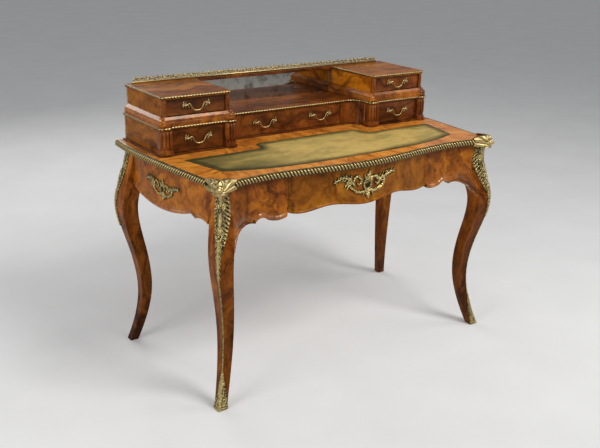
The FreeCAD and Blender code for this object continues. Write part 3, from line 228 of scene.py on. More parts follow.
def mirror():
    """A plate darkened throughout as a painted dark reflection, with dull spots."""
    s = Shader("mirror")
    dark_reflection_and_spots = ((0.3, (0.17, 0.15, 0.13)), (0.48, (0.42, 0.39, 0.35)))
    s.set(Base_Color=s.ramp(s.noise(s.own, 30.0, 6.0), dark_reflection_and_spots), Metallic=1.0)
    s.set(Roughness=s.ramp(s.noise(s.own, 60.0), ((0.35, 0.10), (0.6, 0.02))))
    return s.material


# Tones of each wood, from its darkest figure to its lightest
LEG_WALNUT = ((0.014, 0.004, 0.001), (0.080, 0.019, 0.002), (0.195, 0.051, 0.005), (0.340, 0.106, 0.010))
WALNUT = ((0.036, 0.009, 0.001), (0.165, 0.042, 0.004), (0.330, 0.094, 0.007), (0.480, 0.165, 0.013))
FRONT_WALNUT = ((0.012, 0.003, 0.001), (0.052, 0.012, 0.002), (0.125, 0.031, 0.004), (0.210, 0.062, 0.008))
RED_WALNUT = ((0.018, 0.004, 0.001), (0.075, 0.017, 0.003), (0.180, 0.044, 0.006), (0.300, 0.088, 0.012))
GOLD_WALNUT = ((0.040, 0.011, 0.001), (0.145, 0.041, 0.002), (0.270, 0.083, 0.004), (0.400, 0.148, 0.008))
TOP_WALNUT = ((0.190, 0.049, 0.006), (0.430, 0.128, 0.014), (0.620, 0.214, 0.025), (0.720, 0.296, 0.044))
LID_WALNUT = ((0.060, 0.015, 0.002), (0.170, 0.046, 0.006), (0.270, 0.082, 0.010), (0.360, 0.125, 0.018))
OAK = ((0.150, 0.085, 0.040), (0.240, 0.145, 0.070), (0.330, 0.205, 0.105), (0.400, 0.260, 0.140))

# Painted light multiplies the tones between two places along an axis: legs lighter at the knees, cases
# lighter towards the right
LEG_PAINTED_LIGHT = ("Z", (0.25, 0.72), (0.6, 1.45))
CASE_PAINTED_LIGHT = ("X", (-0.4, 1.0), (0.28, 2.0))

# Words in the names of the solids that wear each wood, then its tones, grain, burr, dark lines, film of
# polish, gloss and painted light
WOODS = {
    "leg_wood": ("leg_front leg_back", LEG_WALNUT, "z", 0.75, 0.45, 0.25, 0.2, LEG_PAINTED_LIGHT),
    "frieze_wood": ("apron", WALNUT, "burr", 0.9, 0.5, 0.45),
    "drawer_burr": ("frieze_drawer_front", GOLD_WALNUT, "burr", 0.9, 0.35, 0.45),
    "top_wood": ("desk_top", TOP_WALNUT, "crossband", 0.3, 0.45, 0.5),
    "lid_wood": ("upper_tops", LID_WALNUT, "x", 0.4, 0.35, 0.1),
    "case_wood": ("tier_ends upper_carcases", GOLD_WALNUT, "y", 0.35, 0.5, 0.35, 0.2, CASE_PAINTED_LIGHT),
    "centre_wood": ("centre_drawer_front right_upper_drawer_front mirror_rail", RED_WALNUT, "x", 0.2, 0.6),
    "front_wood": ("drawer_front tier_base", FRONT_WALNUT, "x", 0.2, 0.6),
    "post_wood": ("pilasters tier_returns upper_plinths", RED_WALNUT, "z", 0.2, 0.5),
    "shelf_wood": ("tier_shelf", RED_WALNUT, "x", 0.2, 0.45, 0.5),
    "lip_wood": ("", WALNUT, "burr", 0.5, 0.4, 2.0),
    "plinth_wood": ("", WALNUT, "y", 0.2, 0.4, 1.2),
    "inside_wood": ("", OAK, "x", 0.0, 0.3, 1.0, 0.5),
}
finishes = {name: wood(name, *recipe) for name, (_, *recipe) in WOODS.items()}
finishes["brass"] = brass("brass", (0.46, 0.345, 0.145), (0.030, 0.020, 0.006))
finishes["old_brass"] = brass("old_brass", (0.47, 0.36, 0.145), (0.016, 0.012, 0.003), 0.26, 0.9)
finishes["leather"] = leather()
finishes["mirror"] = mirror()

# Words in the names of the other solids; the first match counts
WORN_BY = {
    "brass": "chute fillet sabot cartouche gadroon mount moulding gallery bail handle",
    "leather": "leather",
    "mirror": "mirror_glass",
}
WORN_BY.update((finish, words) for finish, (words, *_) in WOODS.items())
for name, node in nodes.items():
    matches = (finish for finish, words in WORN_BY.items() if any(word in name for word in words.split()))
    node.data.materials.clear()
    node.data.materials.append(finishes[next(matches, "inside_wood")])


# Curves, fields and meshes, all in millimetres

def xyz(*parts):
    """Points from coordinates given as arrays or as single numbers."""
    return np.stack(np.broadcast_arrays(*parts), -1)


def spline(knots, values):
    """A smooth curve through the values, as a function along the knots."""
    knots = np.array(knots, float)
    values = np.array(values, float)
    count = len(knots)
    gaps = np.diff(knots)
    rises = np.diff(values)
    degree = min(3, count - 1)
    matrix = np.zeros((count, count))
    right = np.zeros(count)
    for end, near in ((0, slice(0, degree + 1)), (-1, slice(count - degree - 1, count))):
        matrix[end, end] = 1
        right[end] = np.polyfit(knots[near] - knots[end], values[near], degree)[-2]
    for i in range(1, count - 1):
        matrix[i, i - 1:i + 2] = 1 / gaps[i - 1], 2 / gaps[i - 1] + 2 / gaps[i], 1 / gaps[i]
        right[i] = 3 * (rises[i - 1] / gaps[i - 1] ** 2 + rises[i] / gaps[i] ** 2)
    slopes = np.linalg.solve(matrix, right)

    def at(places):
        places = np.asarray(places, float)
        i = np.clip(np.searchsorted(knots, places) - 1, 0, count - 2)
        t = (places - knots[i]) / gaps[i]
        start = (1 + 2 * t) * (1 - t) ** 2 * values[i] + t * (1 - t) ** 2 * gaps[i] * slopes[i]
        return start + t * t * (3 - 2 * t) * values[i + 1] - t * t * (1 - t) * gaps[i] * slopes[i + 1]

    return at


def unit(vectors):
    return vectors / np.maximum(np.linalg.norm(vectors, axis=-1, keepdims=True), 1e-9)


def lengths_along(points):
    steps = np.linalg.norm(np.diff(points, axis=0), axis=1)
    return np.concatenate([[0], np.cumsum(steps)])


def flow(points, count):
    """A smooth path through a few points."""
    points = np.array(points, float)
    run = lengths_along(points)
    places = np.linspace(0, run[-1], count)
    return xyz(*(spline(run, part)(places) for part in points.T))


def resampled(points, step):
    """The same path with points at even steps."""
    run = lengths_along(points)
    places = np.linspace(0, run[-1], max(2, round(run[-1] / step) + 1))
    return xyz(*(np.interp(places, run, part) for part in points.T))


def spread(keys, count):
    """Key values spread evenly over a count of places."""
    return np.interp(np.linspace(0, 1, count), np.linspace(0, 1, len(keys)), keys)


def grid_faces(rows, columns, ring=False):
    """Quads of a grid; a ring joins its last column to its first."""
    index = np.arange(rows * columns).reshape(rows, columns)
    after = np.roll(index, -1, axis=1)
    quads = np.stack([index[:-1], after[:-1], after[1:], index[1:]], -1)
    return (quads if ring else quads[:, :-1]).reshape(-1, 4)


def shown(name, data):
    made = bpy.data.objects.new(name, data)
    bpy.context.scene.collection.objects.link(made)
    return made


class Mass:
    """Points, faces and brightness of the shapes that make one piece; on brass the brightness is painted
    highlight and shade.
    """

    def __init__(self):
        self.points = []
        self.faces = []
        self.painted_light_and_wear = []
        self.count = 0

    def join(self, points, faces, lift=1.0):
        points = np.asarray(points, float).reshape(-1, 3)
        self.faces.append(np.asarray(faces) + self.count)
        self.points.append(points)
        self.painted_light_and_wear.append(np.broadcast_to(np.asarray(lift, float).ravel(), len(points)))
        self.count += len(points)

    def piece(self, name, finish, body="desk", stands_for=()):
        """The finished object, riding on a body and shown in place of solids."""
        mesh = bpy.data.meshes.new(name)
        faces = [face for part in self.faces for face in part.tolist()]
        mesh.from_pydata((np.concatenate(self.points) / METRE).tolist(), [], faces)
        shape = bmesh.new()
        shape.from_mesh(mesh)
        bmesh.ops.recalc_face_normals(shape, faces=shape.faces)
        shape.to_mesh(mesh)
        shape.free()
        mesh.materials.append(finishes[finish])
        mesh.shade_smooth()
        layer = mesh.attributes.new("lift", "FLOAT", "POINT")
        layer.data.foreach_set("value", np.concatenate(self.painted_light_and_wear).astype(np.float32))
        made = shown(name, mesh)
        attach(made, body)
        if stands_for:
            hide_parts(*stands_for)


def stroke(points, widths, height, count=18):
    """A rounded stroke along a flowing path, with key half widths."""
    return flow(points, count), spread(widths, count), height


def bar(start, end, radius, height):
    return np.array([start, end], float), np.array([radius, radius], float), height


def dome(centre, radius, height):
    return bar(centre, centre, radius, height)


def spiral(centre, radii, angles, widths, height):
    count = 22
    turn = np.radians(np.linspace(*angles, count))
    radius = np.linspace(*radii, count)
    path = xyz(centre[0] + radius * np.cos(turn), centre[1] + radius * np.sin(turn))
    return path, spread(widths, count), height


def frond(path, count, length, width, height, sides, lean):
    """Leaflets along a path that lean towards its tip and shorten there."""
    made = []
    turn = math.radians(lean)
    for step in range(count):
        share = (step + 0.5) / count
        at = min(int(share * (len(path) - 1)), len(path) - 2)
        ahead = unit(path[at + 1] - path[at])
        across = np.array([-ahead[1], ahead[0]])
        reach = length * (1 - 0.55 * share)
        for side in sides:
            aim = ahead * math.cos(turn) + across * side * math.sin(turn)
            middle = path[at] + aim * reach * 0.55
            tip = middle + (aim * 0.6 + ahead * 0.6) * reach * 0.45
            made.append(stroke([path[at], middle, tip], (width * 0.5, width, width * 0.25), height, 8))
    return made


def cast(us, vs, strokes):
    """Height field of rounded strokes over a grid."""
    field = np.zeros((len(vs), len(us)))
    for path, widths, height in strokes:
        for a, b, wa, wb in zip(path[:-1], path[1:], widths[:-1], widths[1:]):
            reach = max(wa, wb)
            low = np.minimum(a, b) - reach
            high = np.maximum(a, b) + reach
            columns = slice(*np.searchsorted(us, (low[0], high[0])))
            rows = slice(*np.searchsorted(vs, (low[1], high[1])))
            across, up = np.meshgrid(us[columns] - a[0], vs[rows] - a[1])
            run = b - a
            t = np.clip((across * run[0] + up * run[1]) / max(run @ run, 1e-9), 0, 1)
            width = np.maximum(wa + (wb - wa) * t, 1e-6)
            gap = np.hypot(across - t * run[0], up - t * run[1]) / width
            bump = height * np.sqrt(np.clip(1 - gap * gap, 0, 1))
            field[rows, columns] = np.maximum(field[rows, columns], bump)
    return field


def steps(low, high, step=1.0):
    return np.arange(low, high + 0.1, step)


def ripples(phase):
    return np.abs(np.sin(math.pi * phase))


def sheet_of(us, vs, strokes):
    """A cast sheet with a painted highlight that grows with its height."""
    field = cast(us, vs, strokes)
    return us, vs, field, field / field.max()


# Painted brightness of the flat back of a sheet, which darkens the foot of its walls: painted shade.
BACK_GLOW = 0.35


def relief(mass, sheet, place):
    """Joins a cast sheet to a mass: metal where its field is above nought, flat behind."""
    us, vs, field, glow = sheet
    total = field.size
    quads = grid_faces(*field.shape)
    front = quads[(field.ravel()[quads] > 0).all(1)]
    starts = front.ravel()
    ends = np.roll(front, -1, axis=1).ravel()
    rim = ~np.isin(starts * total + ends, ends * total + starts)
    a, b = starts[rim], ends[rim]
    walls = np.stack([b, a, a + total, b + total], -1)
    faces = np.concatenate([front, front[:, ::-1] + total, walls])
    across, up = np.meshgrid(us, vs)
    points = np.concatenate([place(across, up, lift).reshape(-1, 3) for lift in (field, 0 * field)])
    # The sheet's glow in front and the back's glow behind are painted highlight and shade.
    glow = np.concatenate([glow.ravel(), np.full(total, BACK_GLOW)])
    used, fresh = np.unique(faces, return_inverse=True)
    mass.join(points[used], fresh.reshape(faces.shape), glow[used])


def plate(name, finish, sheet, place, node):
    """A piece that is one cast sheet, shown in place of a solid."""
    mass = Mass()
    relief(mass, sheet, place)
    mass.piece(name, finish, stands_for=[node])


def circle(axis, across, sides):
    """Unit points round an axis, starting at a direction across it."""
    turn = np.linspace(0, 2 * math.pi, sides, endpoint=False)[:, None]
    return np.cos(turn) * across + np.sin(turn) * np.cross(axis, across)


def tube(mass, path, radii, sides):
    """Joins a round rod of changing thickness along a path, closed at both ends."""
    ahead = unit(np.gradient(path, axis=0))
    across = np.cross(ahead[0], (0.31, 0.57, 0.76))
    rings = []
    for point, direction, radius in zip(path, ahead, radii):
        across = unit(across - direction * (across @ direction))
        rings.append(point + radius * circle(direction, across, sides))
    points = np.concatenate([*rings, path[[0, -1]]])
    last = len(path) * sides
    first_ring = np.arange(sides)
    last_ring = first_ring + last - sides
    start_cap = xyz(last, np.roll(first_ring, -1), first_ring)
    end_cap = xyz(last + 1, last_ring, np.roll(last_ring, -1))
    caps = np.concatenate([start_cap, end_cap]) + mass.count
    mass.join(points, grid_faces(len(path), sides, True))
    mass.faces.append(caps)


def turned(mass, centre, axis, profile, sides=16):
    """Joins a turned form: radius and distance along an axis, from back to front."""
    ring = circle(axis, unit(np.cross(axis, (0.2, 0.1, 0.97))), sides)
    rings = [centre + axis * run + ring * max(radius, 0.01) for radius, run in profile]
    mass.join(np.concatenate(rings), grid_faces(len(profile), sides, True))


def swept(mass, points, outward, outs, ups, lift=1.0):
    """Joins a moulding along a path; its section is given by reach and height."""
    outs = np.broadcast_to(outs, (len(points), len(ups)))
    grid = points[:, None, :] + outward[:, None, :] * outs[..., None]
    grid[..., 2] += ups
    mass.join(grid, grid_faces(*outs.shape), np.broadcast_to(lift, outs.shape))


def outward_of(points):
    """Level unit vectors to the right of a path."""
    along = unit(np.gradient(points[:, :2], axis=0))
    return xyz(along[:, 1], -along[:, 0], 0)


def rims(node, height):
    """Outlines of a solid's level faces at a height, the longest first."""
    mesh = nodes[node].data
    edges = set()
    for face in mesh.polygons:
        ring = [tuple(round(part, 2) for part in mesh.vertices[i].co * METRE) for i in face.vertices]
        if any(abs(point[2] - height) > 0.02 for point in ring):
            continue
        for a, b in zip(ring, ring[1:] + ring[:1]):
            if (b, a) in edges:
                edges.remove((b, a))
            else:
                edges.add((a, b))
    after = dict(edges)
    loops = []
    while after:
        loop = [next(iter(after))]
        while loop[-1] in after:
            loop.append(after.pop(loop[-1]))
        loops.append(np.array(loop))
    return sorted(loops, key=lambda loop: -lengths_along(loop)[-1])


def front_stretch(loop, back):
    """The part of a closed outline in front of a line, as an open path."""
    behind = loop[:-1, 1] > back
    leaves = np.flatnonzero(behind & ~np.roll(behind, -1))[0]
    ring = np.roll(loop[:-1], -leaves, axis=0)
    returns = np.flatnonzero(ring[1:, 1] > back)[0] + 1
    return ring[:returns + 1]


def meets(names, starts, aim):
    """How far along an aim rays first meet solids; a miss takes its neighbours' distance."""
    state = bpy.context.evaluated_depsgraph_get()
    trees = [bvhtree.BVHTree.FromObject(nodes[name], state) for name in names]
    aim = Vector(aim)
    found = []
    for start in starts:
        hits = [tree.ray_cast(Vector(start) / METRE, aim)[0] for tree in trees]
        found.append(min((hit.dot(aim) * METRE for hit in hits if hit), default=np.nan))
    found = np.array(found)
    good = ~np.isnan(found)
    return np.interp(np.arange(len(found)), np.flatnonzero(good), found[good])


# Places on the table's curves

MOUNT_GAP = 0.4
front_y = spline((-556, -408, 0, 408, 556), (-303, -277, -312, -277, -303))
side_x = spline((-303, -120, 130, 325), (556, 574, 596, 590))
LEG_HEIGHTS = (0, 95, 200, 370, 525, 655, 713)
leg_outs = {
    "front": spline(LEG_HEIGHTS, (35, -2, -22, 4, 34.5, -1, 0)),
    "back": spline(LEG_HEIGHTS, (29, -3, -19, 12, 48, 15, 0)),
}
LEG_ARRIS = {"front": (551, 297), "back": (585.5, 268)}
LEG_FLARE = {"front": math.radians(26), "back": 0.0}
FLARE_START, FLARE_RUN = 525, 130
ARRIS_ROUND = 9.0
CORNER_ROUND = 30.0


def sideways(side):
    return np.array((side, 0.0, 0.0))


def on_arris(row, side):
    """Places a point by its distance round a leg's arris, its height and its lift."""
    facing = -1 if row == "front" else 1
    x, y = LEG_ARRIS[row]

    def place(across, height, lift):
        reach = leg_outs[row](height) * math.sqrt(0.5)
        flare = LEG_FLARE[row] * np.clip((height - FLARE_START) / FLARE_RUN, 0, 1)
        along_front = xyz(-side * np.cos(flare), -facing * np.sin(flare), 0)
        face_front = xyz(-side * np.sin(flare), facing * np.cos(flare), 0)
        arris = xyz(side * (x + reach), facing * (y + reach), height)
        turn = np.clip(across / ARRIS_ROUND + 0.5, 0, 1)[..., None]
        out = unit(face_front * turn + sideways(side) * (1 - turn))
        run = along_front * np.maximum(across, 0)[..., None]
        back = facing * FRONT * np.maximum(-across, 0)[..., None]
        return arris + run + back + out * (lift + MOUNT_GAP)[..., None]

    return place


def on_corner(side):
    """Places a point round a front corner of the top; above the top it curls inwards."""
    def place(across, up, lift):
        front = TOP_CORNER[0] - np.maximum(across, 0)
        flank = np.maximum(-across, 0) - TOP_CORNER[1]
        x = np.where(across > 0, front, side_x(flank))
        y = np.where(across > 0, front_y(front), flank)
        turn = np.clip(across / CORNER_ROUND + 0.5, 0, 1)
        out = unit(xyz(1 - turn, -turn, 0))
        curl = 0.7 * np.maximum(up - (TOP - UNDERSIDE), 0)
        points = xyz(x, y, UNDERSIDE + up) + out * (lift + 1 - curl)[..., None]
        return points * np.array((side, 1, 1))

    return place


def on_plane(x, y, z, side=1):
    """Places a point on an upright plane that faces the front."""
    def place(across, up, lift):
        return xyz(x + side * across, y - lift, z + up)

    return place


def face_line(node, out, reach, middle):
    """Points and normals on a board's outer face, along a level line through a middle."""
    right = np.array((-out[1], out[0], 0.0))
    line = middle + right * reach[:, None]
    depths = -meets([node], line + out * METRE, -out)
    normals = unit(out - np.gradient(depths, reach)[:, None] * right)
    return line + out * depths[:, None], normals


def on_board(node, out, half, middle):
    """Places a point on a board of the frieze; across runs to the right as seen from outside."""
    reach = np.linspace(-half, half, 80)
    tables = face_line(node, out, reach, middle)

    def place(across, up, lift):
        point, normal = (xyz(*(np.interp(across, reach, part) for part in table.T)) for table in tables)
        return point + UP * up[..., None] + unit(normal) * (lift + MOUNT_GAP)[..., None]

    return place


# Brass borders of the top

# Reach, height, share of lobe and brightness across the border; the brightness is painted highlight and shade
GADROON = np.array((
    (0, 0, 0, 0.1), (3, 0, 0, 0.2), (4, 1, 0, 0.3), (5, 2.2, 0.3, 0.5), (8.8, 4.2, 0.8, 0.9),
    (10.8, 7, 1, 1), (11.2, 10, 1, 1), (10.6, 13.5, 1, 1), (9.2, 16.6, 1, 1), (7, 19.2, 0.9, 0.8),
    (5, 20.6, 0.3, 0.15), (4.2, 21.2, 0, 0.1), (4.4, 21.8, 0, 0.2), (3.6, 22.5, 0, 0.3), (0, 22.5, 0, 0.3),
))
GADROON_PITCH = 12.0
GADROON_SLANT = 1.4 / 26
GADROON_DEPTH = 5.0
GADROON_FRONT_HALF = 500.0
GADROON_SIDE = (-246.0, 324.5)


def gadroon_stretch(mass, points, lean):
    """A lobed border: plain lips below and above, slanting lobes between."""
    reach, heights, lobed, shine = GADROON.T
    phase = lengths_along(points)[:, None] / GADROON_PITCH - GADROON_SLANT * lean * heights
    lobe = ripples(phase + 0.5) ** 1.3
    outs = reach + GADROON_DEPTH * lobed * (lobe - 0.6)
    # Painted highlights on the lobes, painted shade in the grooves between them.
    glow = shine * np.where(lobed > 0, np.clip(2.1 * lobe - 1, 0, 1.1), 1)
    swept(mass, points, outward_of(points), outs, heights, glow)


def gadroon_border():
    mass = Mass()
    xs = np.linspace(-GADROON_FRONT_HALF, GADROON_FRONT_HALF, 1500)
    gadroon_stretch(mass, xyz(xs, front_y(np.abs(xs)), UNDERSIDE), -1)
    for side in BOTH:
        ys = np.linspace(*GADROON_SIDE, 900)
        points = xyz(side * side_x(ys), ys, UNDERSIDE)
        gadroon_stretch(mass, points[::side], -side)
    mass.piece("gadroon_lobes", "brass", stands_for=["gadroon_border"])


def corner_shells():
    """Ribbed shells that wrap the front corners, with a nose, a knob, scrolls and a tongue."""
    reach = 62
    knob = (0, 26)
    us = steps(-reach, reach)
    vs = steps(-13, 36)
    across, up = np.meshgrid(us, vs)
    wide = np.abs(across) / reach
    angle = np.arctan2(up + 1, reach * wide + 6)
    rib = np.abs(np.cos(8 * angle)) ** 0.8
    inside = (up < 34 - 7 * wide ** 2) & (up > -11 + 9 * wide) & (wide < 0.86 + 0.14 * rib)
    wing = np.where(inside, 4.5 + 9 * (1 - wide) ** 2 + 5 * rib * np.clip(wide * 5, 0, 1), 0)
    carved = [dome((0, 8), 12, 23), dome(knob, 10, 15), stroke([(0, 2), (0, -6), (0, -12)], (8, 6, 2), 14)]
    for side in BOTH:
        turns = (200, -260) if side > 0 else (-20, 440)
        carved.append(spiral((side * 14, 21), (8, 2), turns, (3.2, 2.8, 2), 16))
        carved.append(stroke([(side * 4, 0), (side * 15, -3), (side * 26, -8)], (5, 5, 1.5), 9))
    carved = cast(us, vs, carved)
    pits = np.hypot(np.abs(across) - 5, up - 12) < 1.8
    ring = np.abs(np.hypot(across - knob[0], up - knob[1]) - 7) < 1
    cut = pits | ring
    field = np.maximum(wing, carved) - 1.5 * cut
    # Painted highlights on the ribs and carved crests; the pits and the ring darker, partly patina and partly
    # painted shade.
    glow = np.where(carved > wing, carved / 16 - 0.1, 0.85 * rib + 0.15) * ~cut
    for name, side in SIDES:
        plate("corner_shell_" + name, "brass", (us, vs, field, glow), on_corner(side), "corner_mounts")


# Mounts of the legs

CHUTE_LENGTH = 276.0
CHUTE_KNOTS = (0, 26, 50, 100, 135, 165, 205, CHUTE_LENGTH)
CHUTE_EDGES = {
    1: spline(CHUTE_KNOTS, (38, 36, 42, 40, 31, 22, 12, 4)),
    -1: spline(CHUTE_KNOTS, (27, 25, 28, 24, 18, 13, 8, 4)),
}
CHUTE_CURL = spline((0, 20, 50, 100, 135, 160, CHUTE_LENGTH), (1, 3, 6, 5.5, 2.5, 0.4, 0))
FLOWER = 118
HUSK_STEP = 17
SABOT_HEIGHT = 118.0
SABOT_EDGES = dict.fromkeys(BOTH, spline((0, 15, 40, 70, 95, SABOT_HEIGHT), (29, 28, 24, 17, 9, 3)))
FAR_CURL = 0.45


def chute_strokes():
    """The relief of a leg mount, across and down from the top of the leg."""
    made = [
        stroke([(2, 3), (2, 20), (1, 42)], (11, 13, 4), 3),
        stroke([(2, 3), (2, 20), (1, 44)], (1.6, 2.4, 1.4), 5),
        stroke([(0, 70), (0, 86), (0, 106)], (3, 7, 2), 7),
        stroke([(-10, 133), (-5, 144), (0, 146), (5, 144), (10, 133)], (2, 3.4, 3.6, 3.4, 2), 6),
        dome((0, FLOWER), 6, 7),
        dome((0, 236), 5, 6.5),
    ]
    for turn in np.radians(np.arange(0, 360, 60)):
        made.append(dome((9 * math.cos(turn), FLOWER + 9 * math.sin(turn)), 3.6, 5))
    for side, edge in CHUTE_EDGES.items():
        border = flow([(side * (edge(v) - 2.5), v) for v in (0, 24, 46, 72, 100, 132, 162)], 40)
        made.append((border, spread((3, 3.2, 3, 2.4), 40), 3.6))
        made += frond(border, 13, 9, 2.4, 3.6, (side,), 60)
        made += frond(border, 11, 12, 2.4, 3.6, (-side,), 60)
        made.append(spiral((side * 11, 50), (10, 2.5), (90, 90 - side * 470), (3, 2.6, 1.8), 6))
        for step in range(7):
            low = 150 + step * HUSK_STEP
            size = 1 - 0.07 * step
            husk = [(0, low), (side * 7 * size, low + 7), (side * 9.5 * size, low + HUSK_STEP)]
            made.append(stroke(husk, (2.2, 3.6 * size, 1), 4.4, 10))
    for step in range(7):
        low = 152 + step * HUSK_STEP
        made.append(stroke([(0, low), (0, low + 10), (0, low + 20)], (2, 4 - 0.2 * step, 1), 6, 10))
    return made


def sabot_strokes():
    """A shoe with a rolled foot, scrolls and a leaf that climbs the arris."""
    made = [
        bar((-29, 5), (29, 5), 5, 3),
        bar((-28, 13), (28, 13), 2.6, 2.4),
        stroke([(0, 12), (0, 50), (0, SABOT_HEIGHT)], (4, 4.4, 1.5), 3.6),
        dome((0, 28), 6, 5),
    ]
    for side in BOTH:
        made.append(spiral((side * 14, 26), (9, 2), (-90, -90 + side * 430), (3, 2.6, 1.8), 4))
        made += frond(flow([(side * 3, 36), (side * 3, 64), (0, 112)], 16), 8, 16, 3, 3.4, (-side,), 40)
    return made


def chased(us, vs, edges, strokes, curl=None):
    """A sheet of strokes on a rounded ground, whose edges may curl out in leaf tips."""
    across, run = np.meshgrid(us, vs)
    away = np.abs(across)
    edge = np.where(across > 0, edges[1](run), edges[-1](run))
    round_off = np.clip(1 - (across / np.maximum(edge, 1)) ** 2, 0, 1)
    ribs = ripples((run - 0.9 * away) / 8)
    tips = ripples((run - 0.7 * away) / 12)
    rim = np.clip(curl(run), 0, 6) * (1 - round_off) ** 1.5 if curl else 0 * run
    rim = rim * np.where(across > 0, 1, FAR_CURL)
    inside = away < edge - 1 - np.clip(1.4 * rim, 0, 6) * (1 - tips)
    ground = np.where(inside, 0.5 + round_off + 0.8 * ribs, 0)
    carved = cast(us, vs, strokes) * np.where(inside, 0.4, 0.6)
    # Painted highlights that grow with the height of the ground and strokes, and painted shade on the curled
    # rims away from their leaf tips.
    glow = (ground + carved) / 4.2 - 0.06 + np.clip(rim, 0, 1) * (0.6 * tips - 0.34)
    return us, vs, ground + carved + np.where(inside, rim * (0.3 + 0.7 * tips), 0), glow


def leg_mounts():
    """Chutes on all knees, and a shoe with a fillet above it on each front leg."""
    downs = steps(0, CHUTE_LENGTH)
    us, _, *metal = chased(steps(-38, 52), downs, CHUTE_EDGES, chute_strokes(), CHUTE_CURL)
    chute = (us, UNDERSIDE - downs, *metal)
    for row in ("front", "back"):
        for name, side in SIDES:
            plate(f"chute_{row}_{name}", "old_brass", chute, on_arris(row, side), "leg_chutes")
    shoe = chased(steps(-31, 31), steps(0, SABOT_HEIGHT), SABOT_EDGES, sabot_strokes())
    us = steps(-3.5, 3.5, 0.5)
    zs = np.linspace(SABOT_HEIGHT - 2, UNDERSIDE - CHUTE_LENGTH + 2, 160)
    strip = cast(us, zs, [bar((0, 0), (0, UNDERSIDE), 3.2, 1.8)])
    for name, side in SIDES:
        place = on_arris("front", side)
        # The fillet's brightness follows its height: a dim painted highlight along its crest.
        plate("fillet_strip_" + name, "old_brass", (us, zs, strip, 0.3 * strip), place, "leg_fillets")
        plate("sabot_leaf_" + name, "old_brass", shoe, place, "sabots")


# Cartouches

# Leaflets: count, length, half width, height, sides and lean
LOW_LEAFLETS = (5, 13, 1.8, 4.4, BOTH, 50)
LOOP_LEAFLETS = (4, 9, 2, 4.4, (1,), 50)
# Scrolls: half width, points of the path with leaflets, leaflets and points
SCROLLS = (
    (3.2, 22, LOW_LEAFLETS,
     ((-10, -20), (-28, -25), (-46, -20), (-62, -8), (-71, 4), (-64, 11), (-57, 5))),
    (3.4, 30, (6, 26, 1.9, 5, BOTH, 58),
     ((-57, 4), (-67, 18), (-80, 28), (-97, 32), (-115, 27), (-130, 19))),
    (3.2, 18, LOOP_LEAFLETS,
     ((-58, 5), (-55, 22), (-43, 31), (-32, 24), (-27, 11), (-35, 3), (-43, 9))),
    (4.2, 20, LOW_LEAFLETS,
     ((10, -20), (28, -25), (49, -20), (65, -10), (72, 5), (63, 17), (53, 12), (57, 4))),
    (3.2, 30, (6, 25, 1.8, 5, BOTH, 58),
     ((48, 2), (60, 12), (78, 19), (98, 25), (120, 27))),
    (3.2, 18, LOOP_LEAFLETS,
     ((14, 15), (30, 23), (43, 17), (48, 6), (41, -3), (32, 2))),
)
ARMS = (SCROLLS[1], SCROLLS[4])
# Single leaves: root, middle, tip and half width
LEAVES = (
    ((-72, 16), (-82, 10), (-91, 0), 3.6), ((-66, 12), (-76, 4), (-83, -7), 3),
    ((30, 20), (40, 14), (50, 6), 2.8), ((-3, 16), (-11, 24), (-15, 34), 3.4),
    ((6, 17), (15, 22), (24, 25), 3.4), ((1, 17), (4, 30), (8, 46), 5.4),
    ((-8, -17), (-14, -25), (-18, -33), 3.2), ((10, -17), (18, -25), (21, -35), 3.2),
    ((0, -17), (2, -31), (5, -47), 7),
)
CABOCHON = (12, 14)
CARTOUCHE_HALF = (133, 48)


def cartouche_strokes():
    """A scrolled mount: a framed cabochon between leafy arms, a plume and a leaf."""
    ring = np.radians(np.linspace(0, 360, 37))
    made = [(xyz(15 * np.cos(ring), 17 * np.sin(ring)), np.full(37, 3.0), 6)]
    for width, leafy, leaflets, points in SCROLLS:
        made.append(stroke(points, (width * 0.8, width, width, width * 0.55), 7, 30))
        made += frond(flow(points, 30)[:leafy], *leaflets)
    for *_, points in ARMS:
        made.append(stroke(points, (3.5, 6, 5.6, 1.6), 4.4, 30))
    for *points, width in LEAVES:
        made.append(stroke(points, (0.7 * width, width, 0.3 * width), 7.2, 10))
    return made + [dome((24, -38), 2.2, 4), dome((121, 27), 3, 5), dome((-131, 18), 3, 5)]


def cartouche(name, place, scale, body, node):
    """A scrolled mount of a given size on a board."""
    scale = np.array(scale)
    least = scale.min()
    half_u, half_v = CARTOUCHE_HALF * scale
    us = steps(-half_u, half_u)
    vs = steps(-half_v, half_v)
    across, up = np.meshgrid(us, vs)
    ribs = ripples((0.55 * np.abs(across) - up) / (8 * least))
    fatness = 1.75 * least ** 0.7
    strokes = [(path * scale, fatness * widths, height * least)
               for path, widths, height in cartouche_strokes()]
    field = cast(us, vs, strokes) * (0.66 + 0.34 * ribs)
    mass = Mass()
    # Painted highlights on the crests of the strokes, painted shade where they are low; the cabochon is kept
    # dark.
    relief(mass, (us, vs, field, 1.15 * (field / field.max()) ** 1.7), place)
    half_x, half_y = CABOCHON * scale
    bulge = 7.5 * np.sqrt(np.clip(1 - (across / half_x) ** 2 - (up / half_y) ** 2, 0, 1))
    relief(mass, (us, vs, bulge, 0.14 * (bulge > 0)), place)
    mass.piece(name, "old_brass", body, [node])


def cartouches():
    place = on_board("frieze_drawer_front", FRONT, 140, (0, 0, 651))
    cartouche("frieze_cartouche_relief", place, (1, 1), "frieze_drawer", "frieze_cartouche")
    for name, side in SIDES:
        place = on_board("apron_" + name, sideways(side), 105, (0, 20, 638))
        cartouche("side_cartouche_" + name, place, (0.765, 0.73), "desk", "side_cartouches")


# Brass of the upper stage

GALLERY_PITCH = 20.0
GALLERY_HALF = 536.0
GALLERY_FRONT = 314.5
GALLERY_GRAIN = 0.8


